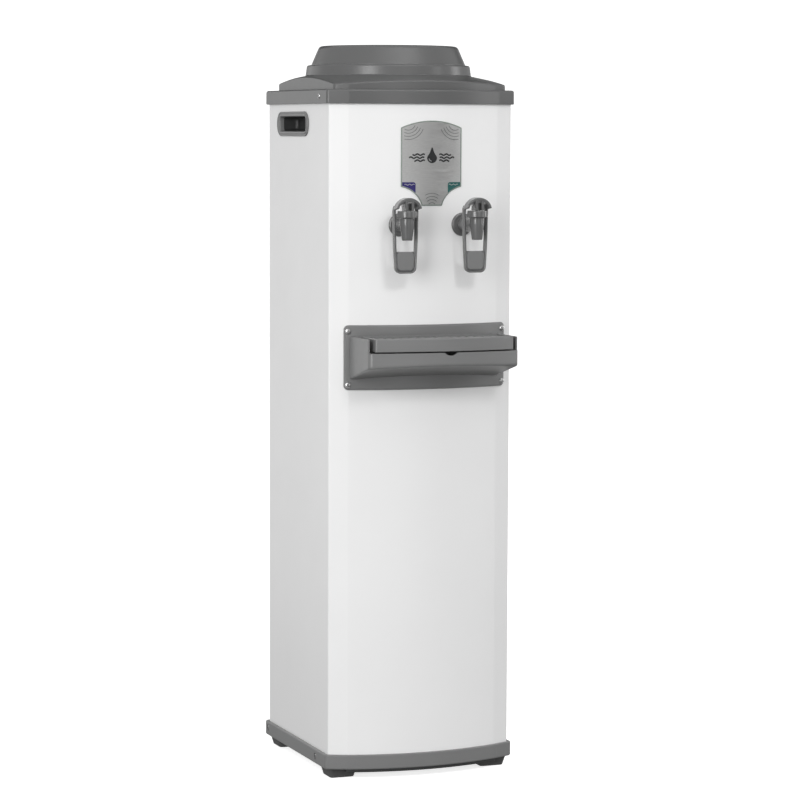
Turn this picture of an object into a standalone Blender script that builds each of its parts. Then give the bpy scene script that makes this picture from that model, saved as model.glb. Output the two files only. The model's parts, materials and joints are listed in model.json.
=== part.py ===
"""Floor-standing column water dispenser for a 20 litre bottle.

Metres, +Z up, front towards -Y. The origin is on the floor, under the middle of the whole object.
Inside the script every piece is placed in the cabinet's frame, whose Y = 0 is the middle of the
side panels; one empty carries that frame to the object's origin.
"""

import math

import bmesh
import bpy
from mathutils import Matrix, Vector

# ---------------------------------------------------------------- driving dimensions
GAP = 0.0003                # clearance between pieces that touch
SHEET = 0.001               # steel sheet of cabinet and rear panel

HALF_WIDTH = 0.1325         # cabinet
HALF_DEPTH = 0.1272
FACET_X = 0.1076            # where the corner facet meets the bowed front
FACET_Y = -0.1363
BOW = 0.0181                # rise of the bowed front
RETURN_FLANGE = 0.015       # rear edges folded inwards
BOW_STEPS = 24

FRONT_REACH = 0.2290        # drip tray front, from the cabinet's middle
REAR_REACH = 0.1520         # thermostat knob
SETBACK = (FRONT_REACH - REAR_REACH) / 2

FLOOR_Z = 0.0140            # underside of the base tray
FLOOR_TOP = 0.0170
BASE_TOP = 0.0340
BASE_GROW = 0.0050          # rim stands this far outside the cabinet
COVER_LOW = 0.9177
COVER_TOP = 0.9370
COVER_GROW = 0.0040
COVER_WALL = 0.0030

SHOULDER_X = 0.1248         # flat sides of the cover's shoulder
SHOULDER_BACK = 0.1106
SHOULDER_FRONT = 0.0040     # set back from the cabinet's front
SHOULDER_SLOPE = 0.21
RING_LOW_R = 0.1149
RING_TOP_R = 0.1133
RING_LOW_Z = 0.9570
RING_TOP_Z = 0.9715
SEAT_Z = 0.9655             # floor inside the ring
SEAT_R = 0.1085
SEAT_HOLE_R = 0.0880
COLLAR_TOP_Z = 0.9980
COLLAR_TOP_R = 0.0968
COLLAR_LOW_R = 0.1073
COLLAR_MOUTH_R = 0.0885

FUNNEL_NECK = 0.9250
FUNNEL_LOW = 0.8950
TANK_Y = 0.0                # tank axis, under the bottle's
TAIL_Y = 0.1125             # cooling tubes behind the tank
TANK_R = 0.070
TANK_LOW = 0.7360
TANK_TOP = 0.9010
JACKET_R = 0.0945
JACKET_BORE = 0.0800
SHELF_TOP = 0.7215
COIL_R = 0.0750
COIL_TUBE = 0.0030
COIL_LOW = 0.7850            # first and last turn round the tank
COIL_HIGH = 0.8600

PANEL_LOW = 0.262           # rear panel
PANEL_TOP = 0.9170
KNOB_X = 0.082
KNOB_Z = 0.860
GLAND_X = 0.060
GLAND_Z = 0.288
CONDENSER_Y = 0.1465
CONDENSER_TUBE = 0.0028
CONDENSER_PASSES = 11
CONDENSER_PITCH = 0.038
CONDENSER_LOW = 0.332
CONDENSER_HALF = 0.090
DRIER_X = 0.098
COMPRESSOR_X = 0.010
COMPRESSOR_Y = 0.052
COMPRESSOR_R = 0.056
COMPRESSOR_WIDEN = 1.18
COMPRESSOR_LOW = 0.0400
COMPRESSOR_TOP = 0.1860
RAIL = (0.0335, 0.0375)      # mounting rail under the compressor
RAIL_REACH = (0.080, 0.046)  # grommets, from the compressor's middle

GRIP_Y = 0.0205             # side grip handles
GRIP_Z = 0.8905
GRIP_SIZE = (0.132, 0.034)
GRIP_OPENING = (0.100, 0.019)
GRIP_DEPTH = 0.028

FITTING_SHIFT = 0.0048      # badge and taps stand this far right of the middle
TAP_SPACING = 0.0450        # each tap from the middle of the pair
TAP_Z = 0.7555
TAP_REACH = 0.041           # panel to the barrel's axis
BONNET_LOW = 0.0108         # heights from here on are above the tap's shank
BONNET_TOP = 0.0198
SPOUT_LOW = -0.0195
SEAT_LOW = -0.0035
PIN_Z = 0.0268
STEM_R = 0.0022
LEVER_LOW = -0.0640
LEVER_DEPTH = 0.0075
HOOD_LOW = 0.0225
HOOD_FRONT = -0.0095
PAD_TOP = -0.0348
PAD_LOW = -0.0587
RIB_NEAR = 0.0028           # the pair of ribs inside the hood, from the middle
RIB_FAR = 0.0060
LEVER_BACK = 0.007          # lever legs run this far behind the barrel's axis
HOSE_END = 0.0860           # from the front panel, along the tap's shank

BADGE_HALF = 0.0440
BADGE_APEX = 0.8955
BADGE_SHOULDER = 0.8860
BADGE_HIP = 0.8065
BADGE_FOOT = 0.7810
BADGE_FOOT_HALF = 0.0140

PLATE_SHIFT = 0.0030        # drip tray's wall plate, right of the middle
PLATE_HALF = 0.1172
PLATE_LOW = 0.5330
PLATE_TOP = 0.6208
PLATE_THICK = 0.0040
BOX_HALF = 0.1074
BOX_CORNER_Y = -0.2169
BOX_LOW_WALL = 0.5510
BOX_LOW_FRONT = 0.5665
BOX_SPLIT = 0.5875          # lower box front ends, removable tray begins above
BOX_TOP = 0.6060
TRAY_HALF = 0.1010
TRAY_SLOT = 0.0038          # clear of the tray on each side
TRAY_LOW = 0.5895
TRAY_TOP = 0.6070
SCREW_X = 0.1125
SCREW_ROWS = (0.5400, 0.6125)

# Colour (linear), roughness, metallic
FINISHES = {
    "white_paint": ((0.80, 0.80, 0.80), 0.35, 0.0),
    "grey_plastic": ((0.17, 0.17, 0.17), 0.38, 0.0),
    "dark_rubber": ((0.07, 0.07, 0.07), 0.75, 0.0),
    "brushed_steel": ((0.55, 0.55, 0.55), 0.32, 1.0),
    "zinc_steel": ((0.60, 0.61, 0.62), 0.40, 1.0),
    "black_paint": ((0.02, 0.02, 0.02), 0.45, 0.0),
    "copper": ((0.72, 0.40, 0.26), 0.30, 1.0),
    "white_plastic": ((0.75, 0.75, 0.73), 0.45, 0.0),
    "foam": ((0.85, 0.85, 0.83), 0.90, 0.0),
    "silicone": ((0.65, 0.66, 0.65), 0.50, 0.0),
}


# ---------------------------------------------------------------- scene and materials
def clear_scene():
    for obj in list(bpy.data.objects):
        bpy.data.objects.remove(obj)


def new_collection(name):
    collection = bpy.data.collections.new(name)
    bpy.context.scene.collection.children.link(collection)
    return collection


def new_empty(name, location, turn=0.0, parent=None):
    empty = bpy.data.objects.new(name, None)
    empty.location = location
    empty.rotation_euler = (0.0, 0.0, turn)
    empty.parent = parent
    PARTS.objects.link(empty)
    return empty


def finish_material(name):
    found = bpy.data.materials.get(name)
    if found:
        return found
    colour, roughness, metallic = FINISHES[name]
    made = bpy.data.materials.new(name)
    made.use_nodes = True
    shader = made.node_tree.nodes["Principled BSDF"]
    shader.inputs["Base Color"].default_value = (*colour, 1.0)
    shader.inputs["Roughness"].default_value = roughness
    shader.inputs["Metallic"].default_value = metallic
    return made


def place(name, data, finish, parent, smooth=0.6):
    """Link a mesh or curve as a part, or as a cutter when it has no finish."""
    obj = bpy.data.objects.new(name, data)
    obj.parent = parent or CABINET
    if finish:
        data.materials.append(finish_material(finish))
        PARTS.objects.link(obj)
        if isinstance(data, bpy.types.Mesh):
            data.shade_smooth()
            data.set_sharp_from_angle(angle=smooth)
    else:
        CUTTERS.objects.link(obj)
        obj.hide_render = True
        obj.display_type = "WIRE"
    return obj


# ---------------------------------------------------------------- shape helpers
def block(name, low, high, finish=None, parent=None, bevel=0.0):
    mesh = bpy.data.meshes.new(name)
    bm = bmesh.new()
    bmesh.ops.create_cube(bm, size=1.0)
    size = Vector(high) - Vector(low)
    middle = (Vector(high) + Vector(low)) / 2
    bmesh.ops.scale(bm, vec=size, verts=bm.verts)
    bmesh.ops.translate(bm, vec=middle, verts=bm.verts)
    bm.to_mesh(mesh)
    bm.free()
    obj = place(name, mesh, finish, parent)
    if bevel:
        rounding = obj.modifiers.new("rounding", "BEVEL")
        rounding.width = bevel
        rounding.segments = 2
    return obj


def turned(name, profile, finish=None, parent=None, steps=32, at=(0, 0, 0), axis="Z", widen=1.0):
    """A profile of (radius, height) points turned about an axis; its outer side runs downwards."""
    mesh = bpy.data.meshes.new(name)
    closed = profile[0][0] > 0.0
    edges = [(i, i + 1) for i in range(len(profile) - 1)]
    if closed:
        edges.append((len(profile) - 1, 0))
    mesh.from_pydata([(radius, 0.0, height) for radius, height in profile], edges, [])
    obj = place(name, mesh, finish, parent)
    obj.location = at
    obj.scale = (widen, 1.0, 1.0)
    obj.rotation_euler = {
        "Z": (0.0, 0.0, 0.0),
        "X": (0.0, math.pi / 2, 0.0),
        "-X": (0.0, -math.pi / 2, 0.0),
        "Y": (-math.pi / 2, 0.0, 0.0),
        "-Y": (math.pi / 2, 0.0, 0.0),
    }[axis]
    screw = obj.modifiers.new("turn", "SCREW")
    screw.steps = steps
    screw.render_steps = steps
    screw.use_merge_vertices = True
    screw.merge_threshold = 0.00002
    screw.use_smooth_shade = True
    return obj


def rod(name, radius, low, high, finish=None, parent=None, at=(0, 0, 0), axis="Z", steps=20):
    return turned(name, [(0, high), (radius, high), (radius, low), (0, low)], finish, parent, steps, at, axis)


def sleeve(name, bore, radius, low, high, finish=None, parent=None, at=(0, 0, 0), axis="Z", steps=24):
    outline = [(bore, high), (radius, high), (radius, low), (bore, low)]
    return turned(name, outline, finish, parent, steps, at, axis)


PLANES = {
    "XY": Matrix.Identity(4),
    "XZ": Matrix.Rotation(math.pi / 2, 4, "X"),
    "YZ": Matrix(((0, 0, 1, 0), (1, 0, 0, 0), (0, 1, 0, 0), (0, 0, 0, 1))),
}
NORMALS = {"XY": Vector((0, 0, 1)), "XZ": Vector((0, 1, 0)), "YZ": Vector((1, 0, 0))}


def slab(name, loops, low, high, finish=None, parent=None, plane="XY"):
    """A flat outline, with holes as further loops, extruded from low to high across its plane."""
    curve = bpy.data.curves.new(name, "CURVE")
    curve.dimensions = "2D"
    curve.fill_mode = "BOTH"
    curve.extrude = (high - low) / 2
    for loop in loops:
        spline = curve.splines.new("POLY")
        spline.points.add(len(loop) - 1)
        for point, (u, v) in zip(spline.points, loop):
            point.co = (u, v, 0.0, 1.0)
        spline.use_cyclic_u = True
    source = bpy.data.objects.new(name + "_outline", curve)
    CUTTERS.objects.link(source)
    graph = bpy.context.evaluated_depsgraph_get()
    mesh = bpy.data.meshes.new_from_object(source.evaluated_get(graph))
    bpy.data.objects.remove(source)
    bpy.data.curves.remove(curve)
    mesh.transform(Matrix.Translation(NORMALS[plane] * (low + high) / 2) @ PLANES[plane])
    bm = bmesh.new()
    bm.from_mesh(mesh)
    bmesh.ops.remove_doubles(bm, verts=bm.verts, dist=0.00001)
    bmesh.ops.recalc_face_normals(bm, faces=bm.faces)
    bm.to_mesh(mesh)
    bm.free()
    mesh.materials.clear()
    return place(name, mesh, finish, parent)


def tube(name, points, radius, finish, parent=None, resolution=2):
    curve = bpy.data.curves.new(name, "CURVE")
    curve.dimensions = "3D"
    curve.bevel_depth = radius
    curve.bevel_resolution = resolution
    curve.use_fill_caps = True
    spline = curve.splines.new("POLY")
    spline.points.add(len(points) - 1)
    for point, co in zip(spline.points, points):
        point.co = (*co, 1.0)
    return place(name, curve, finish, parent)


def combine(target, other, operation="DIFFERENCE"):
    boolean = target.modifiers.new(other.name, "BOOLEAN")
    boolean.operation = operation
    boolean.solver = "EXACT"
    boolean.object = other
    return target


def smooth_route(points, count):
    """A Catmull-Rom curve through route points, count samples to a stretch."""
    knots = [Vector(p) for p in points]
    knots = [2 * knots[0] - knots[1]] + knots + [2 * knots[-1] - knots[-2]]
    route = []
    for a, b, c, d in zip(knots, knots[1:], knots[2:], knots[3:]):
        for step in range(count):
            t = step / count
            route.append(0.5 * (2 * b + (c - a) * t + (2 * a - 5 * b + 4 * c - d) * t * t
                                + (3 * b - a - 3 * c + d) * t ** 3))
    route.append(knots[-2])
    return route


def rounded_rectangle(centre, size, radius, steps=5):
    cu, cv = centre
    hu, hv = size[0] / 2 - radius, size[1] / 2 - radius
    loop = []
    for quarter, (su, sv) in enumerate(((1, 1), (-1, 1), (-1, -1), (1, -1))):
        for step in range(steps + 1):
            angle = math.pi / 2 * (quarter + step / steps)
            loop.append((cu + su * hu + radius * math.cos(angle), cv + sv * hv + radius * math.sin(angle)))
    return loop


def circle(centre, radius, steps=16):
    angles = [2 * math.pi * i / steps for i in range(steps)]
    return [(centre[0] + radius * math.cos(a), centre[1] + radius * math.sin(a)) for a in angles]


# ---------------------------------------------------------------- plan of the cabinet
FRONT_R = FACET_X ** 2 / (2 * BOW) + BOW / 2
FRONT_CENTRE = FACET_Y - BOW + FRONT_R
FACET_TURN = math.atan2(-HALF_DEPTH - FACET_Y, HALF_WIDTH - FACET_X)


def front_y(x, grow=0.0):
    """Front face of the cabinet, or of an outline grown outwards from it."""
    edge = FACET_X * (FRONT_R + grow) / FRONT_R
    if abs(x) <= edge:
        return FRONT_CENTRE - math.sqrt((FRONT_R + grow) ** 2 - x * x)
    start = FRONT_CENTRE - math.sqrt((FRONT_R + grow) ** 2 - edge * edge)
    return start + math.tan(FACET_TURN) * (abs(x) - edge)


def front_path(half, grow, steps=BOW_STEPS):
    """Points along the front from -half to +half, with one on each facet's edge."""
    edge = FACET_X * (FRONT_R + grow) / FRONT_R
    reach = min(half, edge)
    stations = [reach * (2 * i / steps - 1) for i in range(steps + 1)]
    if half > edge:
        stations = [-half] + stations + [half]
    return [(x, front_y(x, grow)) for x in stations]


def plan(grow=0.0, radius=0.0):
    """Closed outline of the cabinet, grown outwards, its four corners rounded."""
    half, back = HALF_WIDTH + grow, HALF_DEPTH + grow
    loop = [(-half, back)] + front_path(half, grow) + [(half, back)]
    if radius:
        loop = round_corners(loop, radius)
    return loop


def round_corners(loop, radius, sharpest=0.5, steps=4):
    rounded = []
    for i, here in enumerate(loop):
        p = Vector(here)
        before = (Vector(loop[i - 1]) - p).normalized()
        after = (Vector(loop[(i + 1) % len(loop)]) - p).normalized()
        turn = math.pi - before.angle(after)
        if turn < sharpest:
            rounded.append(here)
            continue
        reach = radius * math.tan(turn / 2)
        start, end = p + before * reach, p + after * reach
        centre = p + (before + after).normalized() * radius / math.cos(turn / 2)
        for step in range(steps + 1):
            mixed = start.lerp(end, step / steps) - centre
            rounded.append(tuple(centre + mixed.normalized() * radius))
    return rounded


def front_band(name, half, inner, outer, low, high, finish=None):
    """A plate bent to the front: from grown outline inner to outer, between two heights."""
    loop = front_path(half, outer) + front_path(half, inner)[::-1]
    return slab(name, [loop], low, high, finish)


# ---------------------------------------------------------------- casing
def base_tray():
    tray = slab("base_tray", [plan(BASE_GROW, 0.006)], FLOOR_Z, BASE_TOP, "grey_plastic")
    combine(tray, slab("base_inside", [plan(0.0004)], FLOOR_TOP, BASE_TOP + 0.01))
    lip = front_path(0.110, 0.002) + front_path(0.110, -0.004)[::-1]
    combine(tray, slab("base_lip", [lip], FLOOR_Z - 0.0045, FLOOR_Z + 0.001), "UNION")
    return tray


def foot(name, x, y):
    bm = bmesh.new()
    bmesh.ops.create_cube(bm, size=1.0)
    for vert in bm.verts:
        upper = vert.co.z > 0
        half_x, half_y = (0.0235, 0.0215) if upper else (0.0175, 0.0165)
        top = FLOOR_Z - GAP if upper else 0.0
        vert.co = (math.copysign(half_x, vert.co.x), math.copysign(half_y, vert.co.y), top)
    mesh = bpy.data.meshes.new(name)
    bm.to_mesh(mesh)
    bm.free()
    obj = place(name, mesh, "dark_rubber", None)
    obj.location = (x, y, 0.0)
    rounding = obj.modifiers.new("rounding", "BEVEL")
    rounding.width = 0.0014
    rounding.segments = 1
    return obj


def cabinet_shell():
    half, back = HALF_WIDTH, HALF_DEPTH
    path = [(-half + RETURN_FLANGE, back), (-half, back)]
    path += front_path(half, 0.0) + [(half, back), (half - RETURN_FLANGE, back)]
    low, high = FLOOR_TOP + GAP, COVER_TOP - COVER_WALL - GAP
    bm = bmesh.new()
    columns = [(bm.verts.new((x, y, low)), bm.verts.new((x, y, high))) for x, y in path]
    for (a, b), (c, d) in zip(columns, columns[1:]):
        bm.faces.new((a, c, d, b))
    mesh = bpy.data.meshes.new("cabinet_shell")
    bm.to_mesh(mesh)
    bm.free()
    shell = place("cabinet_shell", mesh, "white_paint", None)
    wall = shell.modifiers.new("sheet", "SOLIDIFY")
    wall.thickness = SHEET
    wall.offset = -1.0
    wall.use_even_offset = True
    return shell


def rear_panel():
    outline = rounded_rectangle((0.0, (PANEL_LOW + PANEL_TOP) / 2), (0.260, PANEL_TOP - PANEL_LOW), 0.002, 1)
    holes = [circle((KNOB_X, KNOB_Z), 0.0045), circle((GLAND_X, GLAND_Z), 0.0068)]
    face = HALF_DEPTH + GAP
    return slab("rear_panel", [outline] + holes, face, face + SHEET, "zinc_steel", None, "XZ")


def shoulder_z(radius):
    return RING_LOW_Z - SHOULDER_SLOPE * (radius - RING_LOW_R)


def shoulder_form(name, inset, drop):
    """The cone-shaped shoulder of the cover, cut off flat at its sides, bowed in front."""
    side, back = SHOULDER_X - inset, SHOULDER_BACK - inset
    front = front_path(side, -SHOULDER_FRONT - inset, 12)
    loop = [(-side, back)] + front + [(side, back)]
    body = slab(name, [loop], COVER_LOW + 0.004, RING_LOW_Z + 0.02)
    rim = 0.19
    cone = [(0, shoulder_z(0.06) - drop), (0.06, shoulder_z(0.06) - drop), (rim, shoulder_z(rim) - drop),
            (rim, COVER_LOW), (0, COVER_LOW)]
    return combine(body, turned(name + "_cone", cone, steps=64), "INTERSECT")


def top_cover():
    cover = slab("top_cover", [plan(COVER_GROW, 0.0015)], COVER_LOW, COVER_TOP, "grey_plastic")
    combine(cover, shoulder_form("shoulder_outside", 0.0, 0.0), "UNION")
    ring = [(0, RING_TOP_Z), (RING_TOP_R - 0.002, RING_TOP_Z), (RING_TOP_R, RING_TOP_Z - 0.002),
            (RING_LOW_R, RING_LOW_Z), (RING_LOW_R, RING_LOW_Z - 0.01), (0, RING_LOW_Z - 0.01)]
    combine(cover, turned("ring_outside", ring, steps=64), "UNION")
    inside = COVER_TOP - COVER_WALL
    combine(cover, slab("skirt_inside", [plan(COVER_GROW - COVER_WALL)], COVER_LOW - 0.01, inside))
    combine(cover, shoulder_form("shoulder_inside", COVER_WALL, 0.0028))
    under_ring = SEAT_R - 0.004
    combine(cover, rod("ring_inside", under_ring, COVER_TOP - 0.01, SEAT_Z - 0.0025, steps=48))
    combine(cover, rod("ring_seat", SEAT_R, SEAT_Z, RING_TOP_Z + 0.01, steps=64))
    combine(cover, rod("seat_hole", SEAT_HOLE_R, COVER_LOW, RING_TOP_Z + 0.02, steps=48))
    return cover


def bottle_collar():
    low = SEAT_Z + GAP
    profile = [(COLLAR_MOUTH_R, COLLAR_TOP_Z), (COLLAR_TOP_R - 0.002, COLLAR_TOP_Z),
               (COLLAR_TOP_R, COLLAR_TOP_Z - 0.0022), (COLLAR_LOW_R, RING_TOP_Z), (COLLAR_LOW_R, low),
               (COLLAR_LOW_R - 0.003, low), (COLLAR_LOW_R - 0.003, RING_TOP_Z),
               (COLLAR_TOP_R - 0.0035, COLLAR_TOP_Z - 0.0045), (COLLAR_MOUTH_R, COLLAR_TOP_Z - 0.0035)]
    return turned("bottle_collar", profile, "grey_plastic", steps=56)


def grip_handle(name, side):
    face = HALF_WIDTH
    centre = (GRIP_Y, GRIP_Z)
    cup = (GRIP_OPENING[0] + 0.0045, GRIP_OPENING[1] + 0.0045)

    def across(label, size, radius, start, end, finish=None):
        low, high = sorted((side * start, side * end))
        return slab(label, [rounded_rectangle(centre, size, radius)], low, high, finish, None, "YZ")

    handle = across(name, GRIP_SIZE, 0.0125, face + GAP, face + 0.0018, "grey_plastic")
    combine(handle, across(name + "_cup", cup, 0.0070, face - GRIP_DEPTH, face + 0.001), "UNION")
    combine(handle, across(name + "_pocket", GRIP_OPENING, 0.0050, face - GRIP_DEPTH + 0.002, face + 0.01))
    hole = (cup[0] + 0.001, cup[1] + 0.001)
    combine(SHELL, across(name + "_hole", hole, 0.0075, face - 0.01, face + 0.01))
    return handle


def badge_outline():
    half, foot_half = BADGE_HALF, BADGE_FOOT_HALF
    rise = BADGE_APEX - BADGE_SHOULDER
    radius = half ** 2 / (2 * rise) + rise / 2
    crown = []
    for step in range(13):
        x = half * (1 - step / 6)
        crown.append((x, BADGE_APEX - radius + math.sqrt(radius ** 2 - x * x)))
    hollow = []
    for step in range(9):
        angle = math.pi / 2 * step / 8
        across = half - (half - foot_half) * math.sin(angle)
        hollow.append((across, BADGE_FOOT + (BADGE_HIP - BADGE_FOOT) * math.cos(angle)))
    left = [(-x, z) for x, z in hollow]
    right = hollow[::-1]
    loop = crown + left + right
    return [(x + FITTING_SHIFT, z) for x, z in loop]


def badge_plate():
    half = BADGE_HALF + FITTING_SHIFT + 0.005
    badge = front_band("badge_plate", half, GAP, 0.0011, BADGE_FOOT - 0.01, BADGE_APEX + 0.01,
                       "brushed_steel")
    window = slab("badge_window", [badge_outline()], -0.20, -0.10, None, None, "XZ")
    return combine(badge, window, "INTERSECT")


# ---------------------------------------------------------------- water path
def feed_funnel():
    flange = SEAT_Z + GAP
    profile = [(0.0860, flange + 0.0025), (0.1030, flange + 0.0025), (0.1030, flange), (0.0865, flange),
               (0.0310, FUNNEL_NECK), (0.0310, FUNNEL_LOW), (0.0285, FUNNEL_LOW), (0.0285, FUNNEL_NECK + 0.0018)]
    return turned("feed_funnel", profile, "white_plastic", steps=40)


def tank_lid():
    low = TANK_TOP + GAP
    return sleeve("tank_lid", 0.033, 0.090, low, low + 0.003, "white_plastic", at=(0, TANK_Y, 0), steps=40)


def water_tank():
    wall, corner = 0.0012, 0.006
    profile = [(0, TANK_LOW + wall), (TANK_R - wall - corner, TANK_LOW + wall),
               (TANK_R - wall, TANK_LOW + wall + corner), (TANK_R - wall, TANK_TOP), (0.092, TANK_TOP),
               (0.092, TANK_TOP - wall), (TANK_R, TANK_TOP - wall), (TANK_R, TANK_LOW + corner),
               (TANK_R - corner, TANK_LOW), (0, TANK_LOW)]
    return turned("water_tank", profile, "zinc_steel", steps=40, at=(0, TANK_Y, 0))


def separator_disc():
    return sleeve("separator_disc", 0.012, 0.066, 0.800, 0.803, "white_plastic", at=(0, TANK_Y, 0), steps=32)


def insulation_jacket():
    low, high = SHELF_TOP + GAP, TANK_TOP - 0.0015
    floor = TANK_LOW - GAP
    profile = [(0, floor), (JACKET_BORE, floor), (JACKET_BORE, high), (JACKET_R, high), (JACKET_R, low),
               (0, low)]
    jacket = turned("insulation_jacket", profile, "foam", steps=32, at=(0, TANK_Y, 0))
    for height in (COIL_LOW, COIL_HIGH):
        hole = rod(f"jacket_hole_{height:.3f}", 0.0095, 0.06, 0.11, at=(0, TANK_Y, height), axis="Y",
                   steps=12)
        combine(jacket, hole)
    return jacket


def evaporator_coil():
    turns, to_a_turn = 6, 20
    rise = COIL_HIGH - COIL_LOW
    coil = []
    for step in range(1, turns * to_a_turn):
        along = step / (turns * to_a_turn)
        angle = math.pi / 2 - 2 * math.pi * turns * along
        coil.append((COIL_R * math.cos(angle), TANK_Y + COIL_R * math.sin(angle), COIL_LOW + rise * along))
    out = TAIL_Y
    lower = [(-0.022, out, COIL_LOW), (-0.008, out, COIL_LOW), (-0.001, out - 0.004, COIL_LOW),
             (0.0, out - 0.012, COIL_LOW),
             (0.0, TANK_Y + COIL_R + 0.007, COIL_LOW), (0.006, TANK_Y + COIL_R + 0.001, COIL_LOW)]
    upper = [(-x, y, COIL_HIGH) for x, y, _ in lower[::-1]]
    return tube("evaporator_coil", lower + coil + upper, COIL_TUBE, "copper", resolution=1)


def tank_shelf():
    half, sheet, drop = HALF_WIDTH - SHEET - GAP, 0.0015, 0.018
    top = SHELF_TOP
    profile = [(-half, top), (-half, top - drop), (-half + sheet, top - drop), (-half + sheet, top - sheet),
               (half - sheet, top - sheet), (half - sheet, top - drop), (half, top - drop), (half, top)]
    return slab("tank_shelf", [profile], -0.115, 0.088, "zinc_steel", None, "XZ")


# ---------------------------------------------------------------- cooling
def compressor():
    low, top = COMPRESSOR_LOW, COMPRESSOR_TOP
    dome = [(0, top), (0.022, top - 0.002), (0.042, top - 0.012), (0.052, top - 0.028),
            (COMPRESSOR_R, top - 0.050),
            (COMPRESSOR_R, 0.108), (COMPRESSOR_R + 0.0025, 0.106), (COMPRESSOR_R + 0.0025, 0.101),
            (COMPRESSOR_R, 0.099), (COMPRESSOR_R, 0.070), (0.050, 0.052), (0.036, low), (0, low - 0.004)]
    at = (COMPRESSOR_X, COMPRESSOR_Y, 0)
    body = turned("compressor", dome, "black_paint", steps=28, at=at, widen=COMPRESSOR_WIDEN)
    reach_x, reach_y = RAIL_REACH
    rail_low = (COMPRESSOR_X - reach_x - 0.012, COMPRESSOR_Y - reach_y - 0.012, RAIL[0])
    rail_high = (COMPRESSOR_X + reach_x + 0.012, COMPRESSOR_Y + reach_y + 0.012, RAIL[1])
    combine(body, block("compressor_rail", rail_low, rail_high), "UNION")
    for side_x in (-1, 1):
        for side_y in (-1, 1):
            at = (COMPRESSOR_X + side_x * reach_x, COMPRESSOR_Y + side_y * reach_y, 0)
            post = rod(f"compressor_post_{side_x}_{side_y}", 0.009, FLOOR_TOP + GAP, 0.035, at=at, steps=12)
            combine(body, post, "UNION")
    return body


def relay_cover():
    side = COMPRESSOR_X + (COMPRESSOR_R + 0.0025) * COMPRESSOR_WIDEN + 0.0008
    return block("relay_cover", (side, 0.030, 0.088), (side + 0.026, 0.074, 0.138), "black_paint",
                 bevel=0.003)


def condenser_coil():
    y, low, pitch = CONDENSER_Y, CONDENSER_LOW, CONDENSER_PITCH
    bend = pitch / 2
    straight = CONDENSER_HALF - bend
    top = low + pitch * (CONDENSER_PASSES - 1)
    riser = CONDENSER_HALF + 0.019
    inlet = [(riser, 0.118, 0.225), (riser, 0.135, 0.238), (riser, y, 0.262), (riser, y, low)]
    points = smooth_route(inlet, 3)
    points += [(riser, y, top - 0.018), (riser - 0.005, y, top - 0.005), (riser - 0.017, y, top)]
    side = -1
    for number in range(CONDENSER_PASSES):
        z = top - pitch * number
        points.append((side * straight, y, z))
        if number == CONDENSER_PASSES - 1:
            break
        for step in range(1, 6):
            angle = math.pi * step / 6
            points.append((side * (straight + bend * math.sin(angle)), y, z - bend + bend * math.cos(angle)))
        side = -side
        points.append((-side * straight, y, z - pitch))
    x = -DRIER_X
    outlet = [(-straight, y, low), (x + 0.009, y, low - 0.004), (x, y, low - 0.018), (x, y, 0.262),
              (x, 0.134, 0.240), (x, 0.116, 0.2345), (x, 0.111, 0.2290), (x, 0.111, 0.2256)]
    points += smooth_route(outlet, 2)[1:]
    return tube("condenser_coil", points, CONDENSER_TUBE, "black_paint")


def condenser_bracket(name, z):
    """A hat-section bar between the rear panel and the coil."""
    back = HALF_DEPTH + GAP + SHEET + GAP
    front, sheet = CONDENSER_Y - CONDENSER_TUBE - GAP, 0.0012
    profile = [(back, z - 0.014), (back + sheet, z - 0.014), (back + sheet, z - 0.0072), (front, z - 0.0072),
               (front, z + 0.0072), (back + sheet, z + 0.0072), (back + sheet, z + 0.014), (back, z + 0.014),
               (back, z + 0.006), (front - sheet, z + 0.006), (front - sheet, z - 0.006), (back, z - 0.006)]
    return slab(name, [profile], -0.085, 0.085, "black_paint", None, "YZ")


def filter_drier():
    profile = [(0, 0.2250), (0.0030, 0.2250), (0.0030, 0.2150), (0.0090, 0.2060), (0.0090, 0.1540),
               (0.0020, 0.1450), (0.0020, 0.1360), (0, 0.1360)]
    return turned("filter_drier", profile, "copper", steps=16, at=(-DRIER_X, 0.111, 0))


def cooling_tubes():
    discharge = [(0.109, 0.1170, 0.2243), (0.107, 0.109, 0.2150), (0.103, 0.105, 0.190),
                 (0.094, 0.104, 0.132),
                 (0.078, 0.1045, 0.119), (0.0640, 0.1002, 0.118), (0.0574, 0.0926, 0.118)]
    tube("discharge_tube", smooth_route(discharge, 4), 0.0026, "copper", resolution=1)
    y = TAIL_Y
    suction = [(0.0225, y, COIL_HIGH), (0.028, y, COIL_HIGH), (0.040, y, 0.853), (0.047, y, 0.830),
               (0.047, y, 0.600), (0.047, y, 0.300),
               (0.047, y, 0.165), (0.043, 0.1165, 0.142), (0.034, 0.1170, 0.131), (0.0284, 0.1115, 0.130),
               (0.0275, 0.1078, 0.130)]
    tube("suction_tube", smooth_route(suction, 3), 0.0034, "copper", resolution=1)
    x, drier_y = -DRIER_X, 0.111
    capillary = [(x, drier_y, 0.1357), (x - 0.001, drier_y, 0.125), (x - 0.006, drier_y, 0.118),
                 (x - 0.012, drier_y, 0.128), (x - 0.0135, drier_y, 0.160), (x - 0.0135, drier_y, 0.500),
                 (x - 0.0135, drier_y, 0.760), (x - 0.006, 0.1118, 0.783), (x + 0.013, y, COIL_LOW),
                 (-0.0223, y, COIL_LOW)]
    tube("capillary_tube", smooth_route(capillary, 4), 0.0013, "copper", resolution=1)


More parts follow.
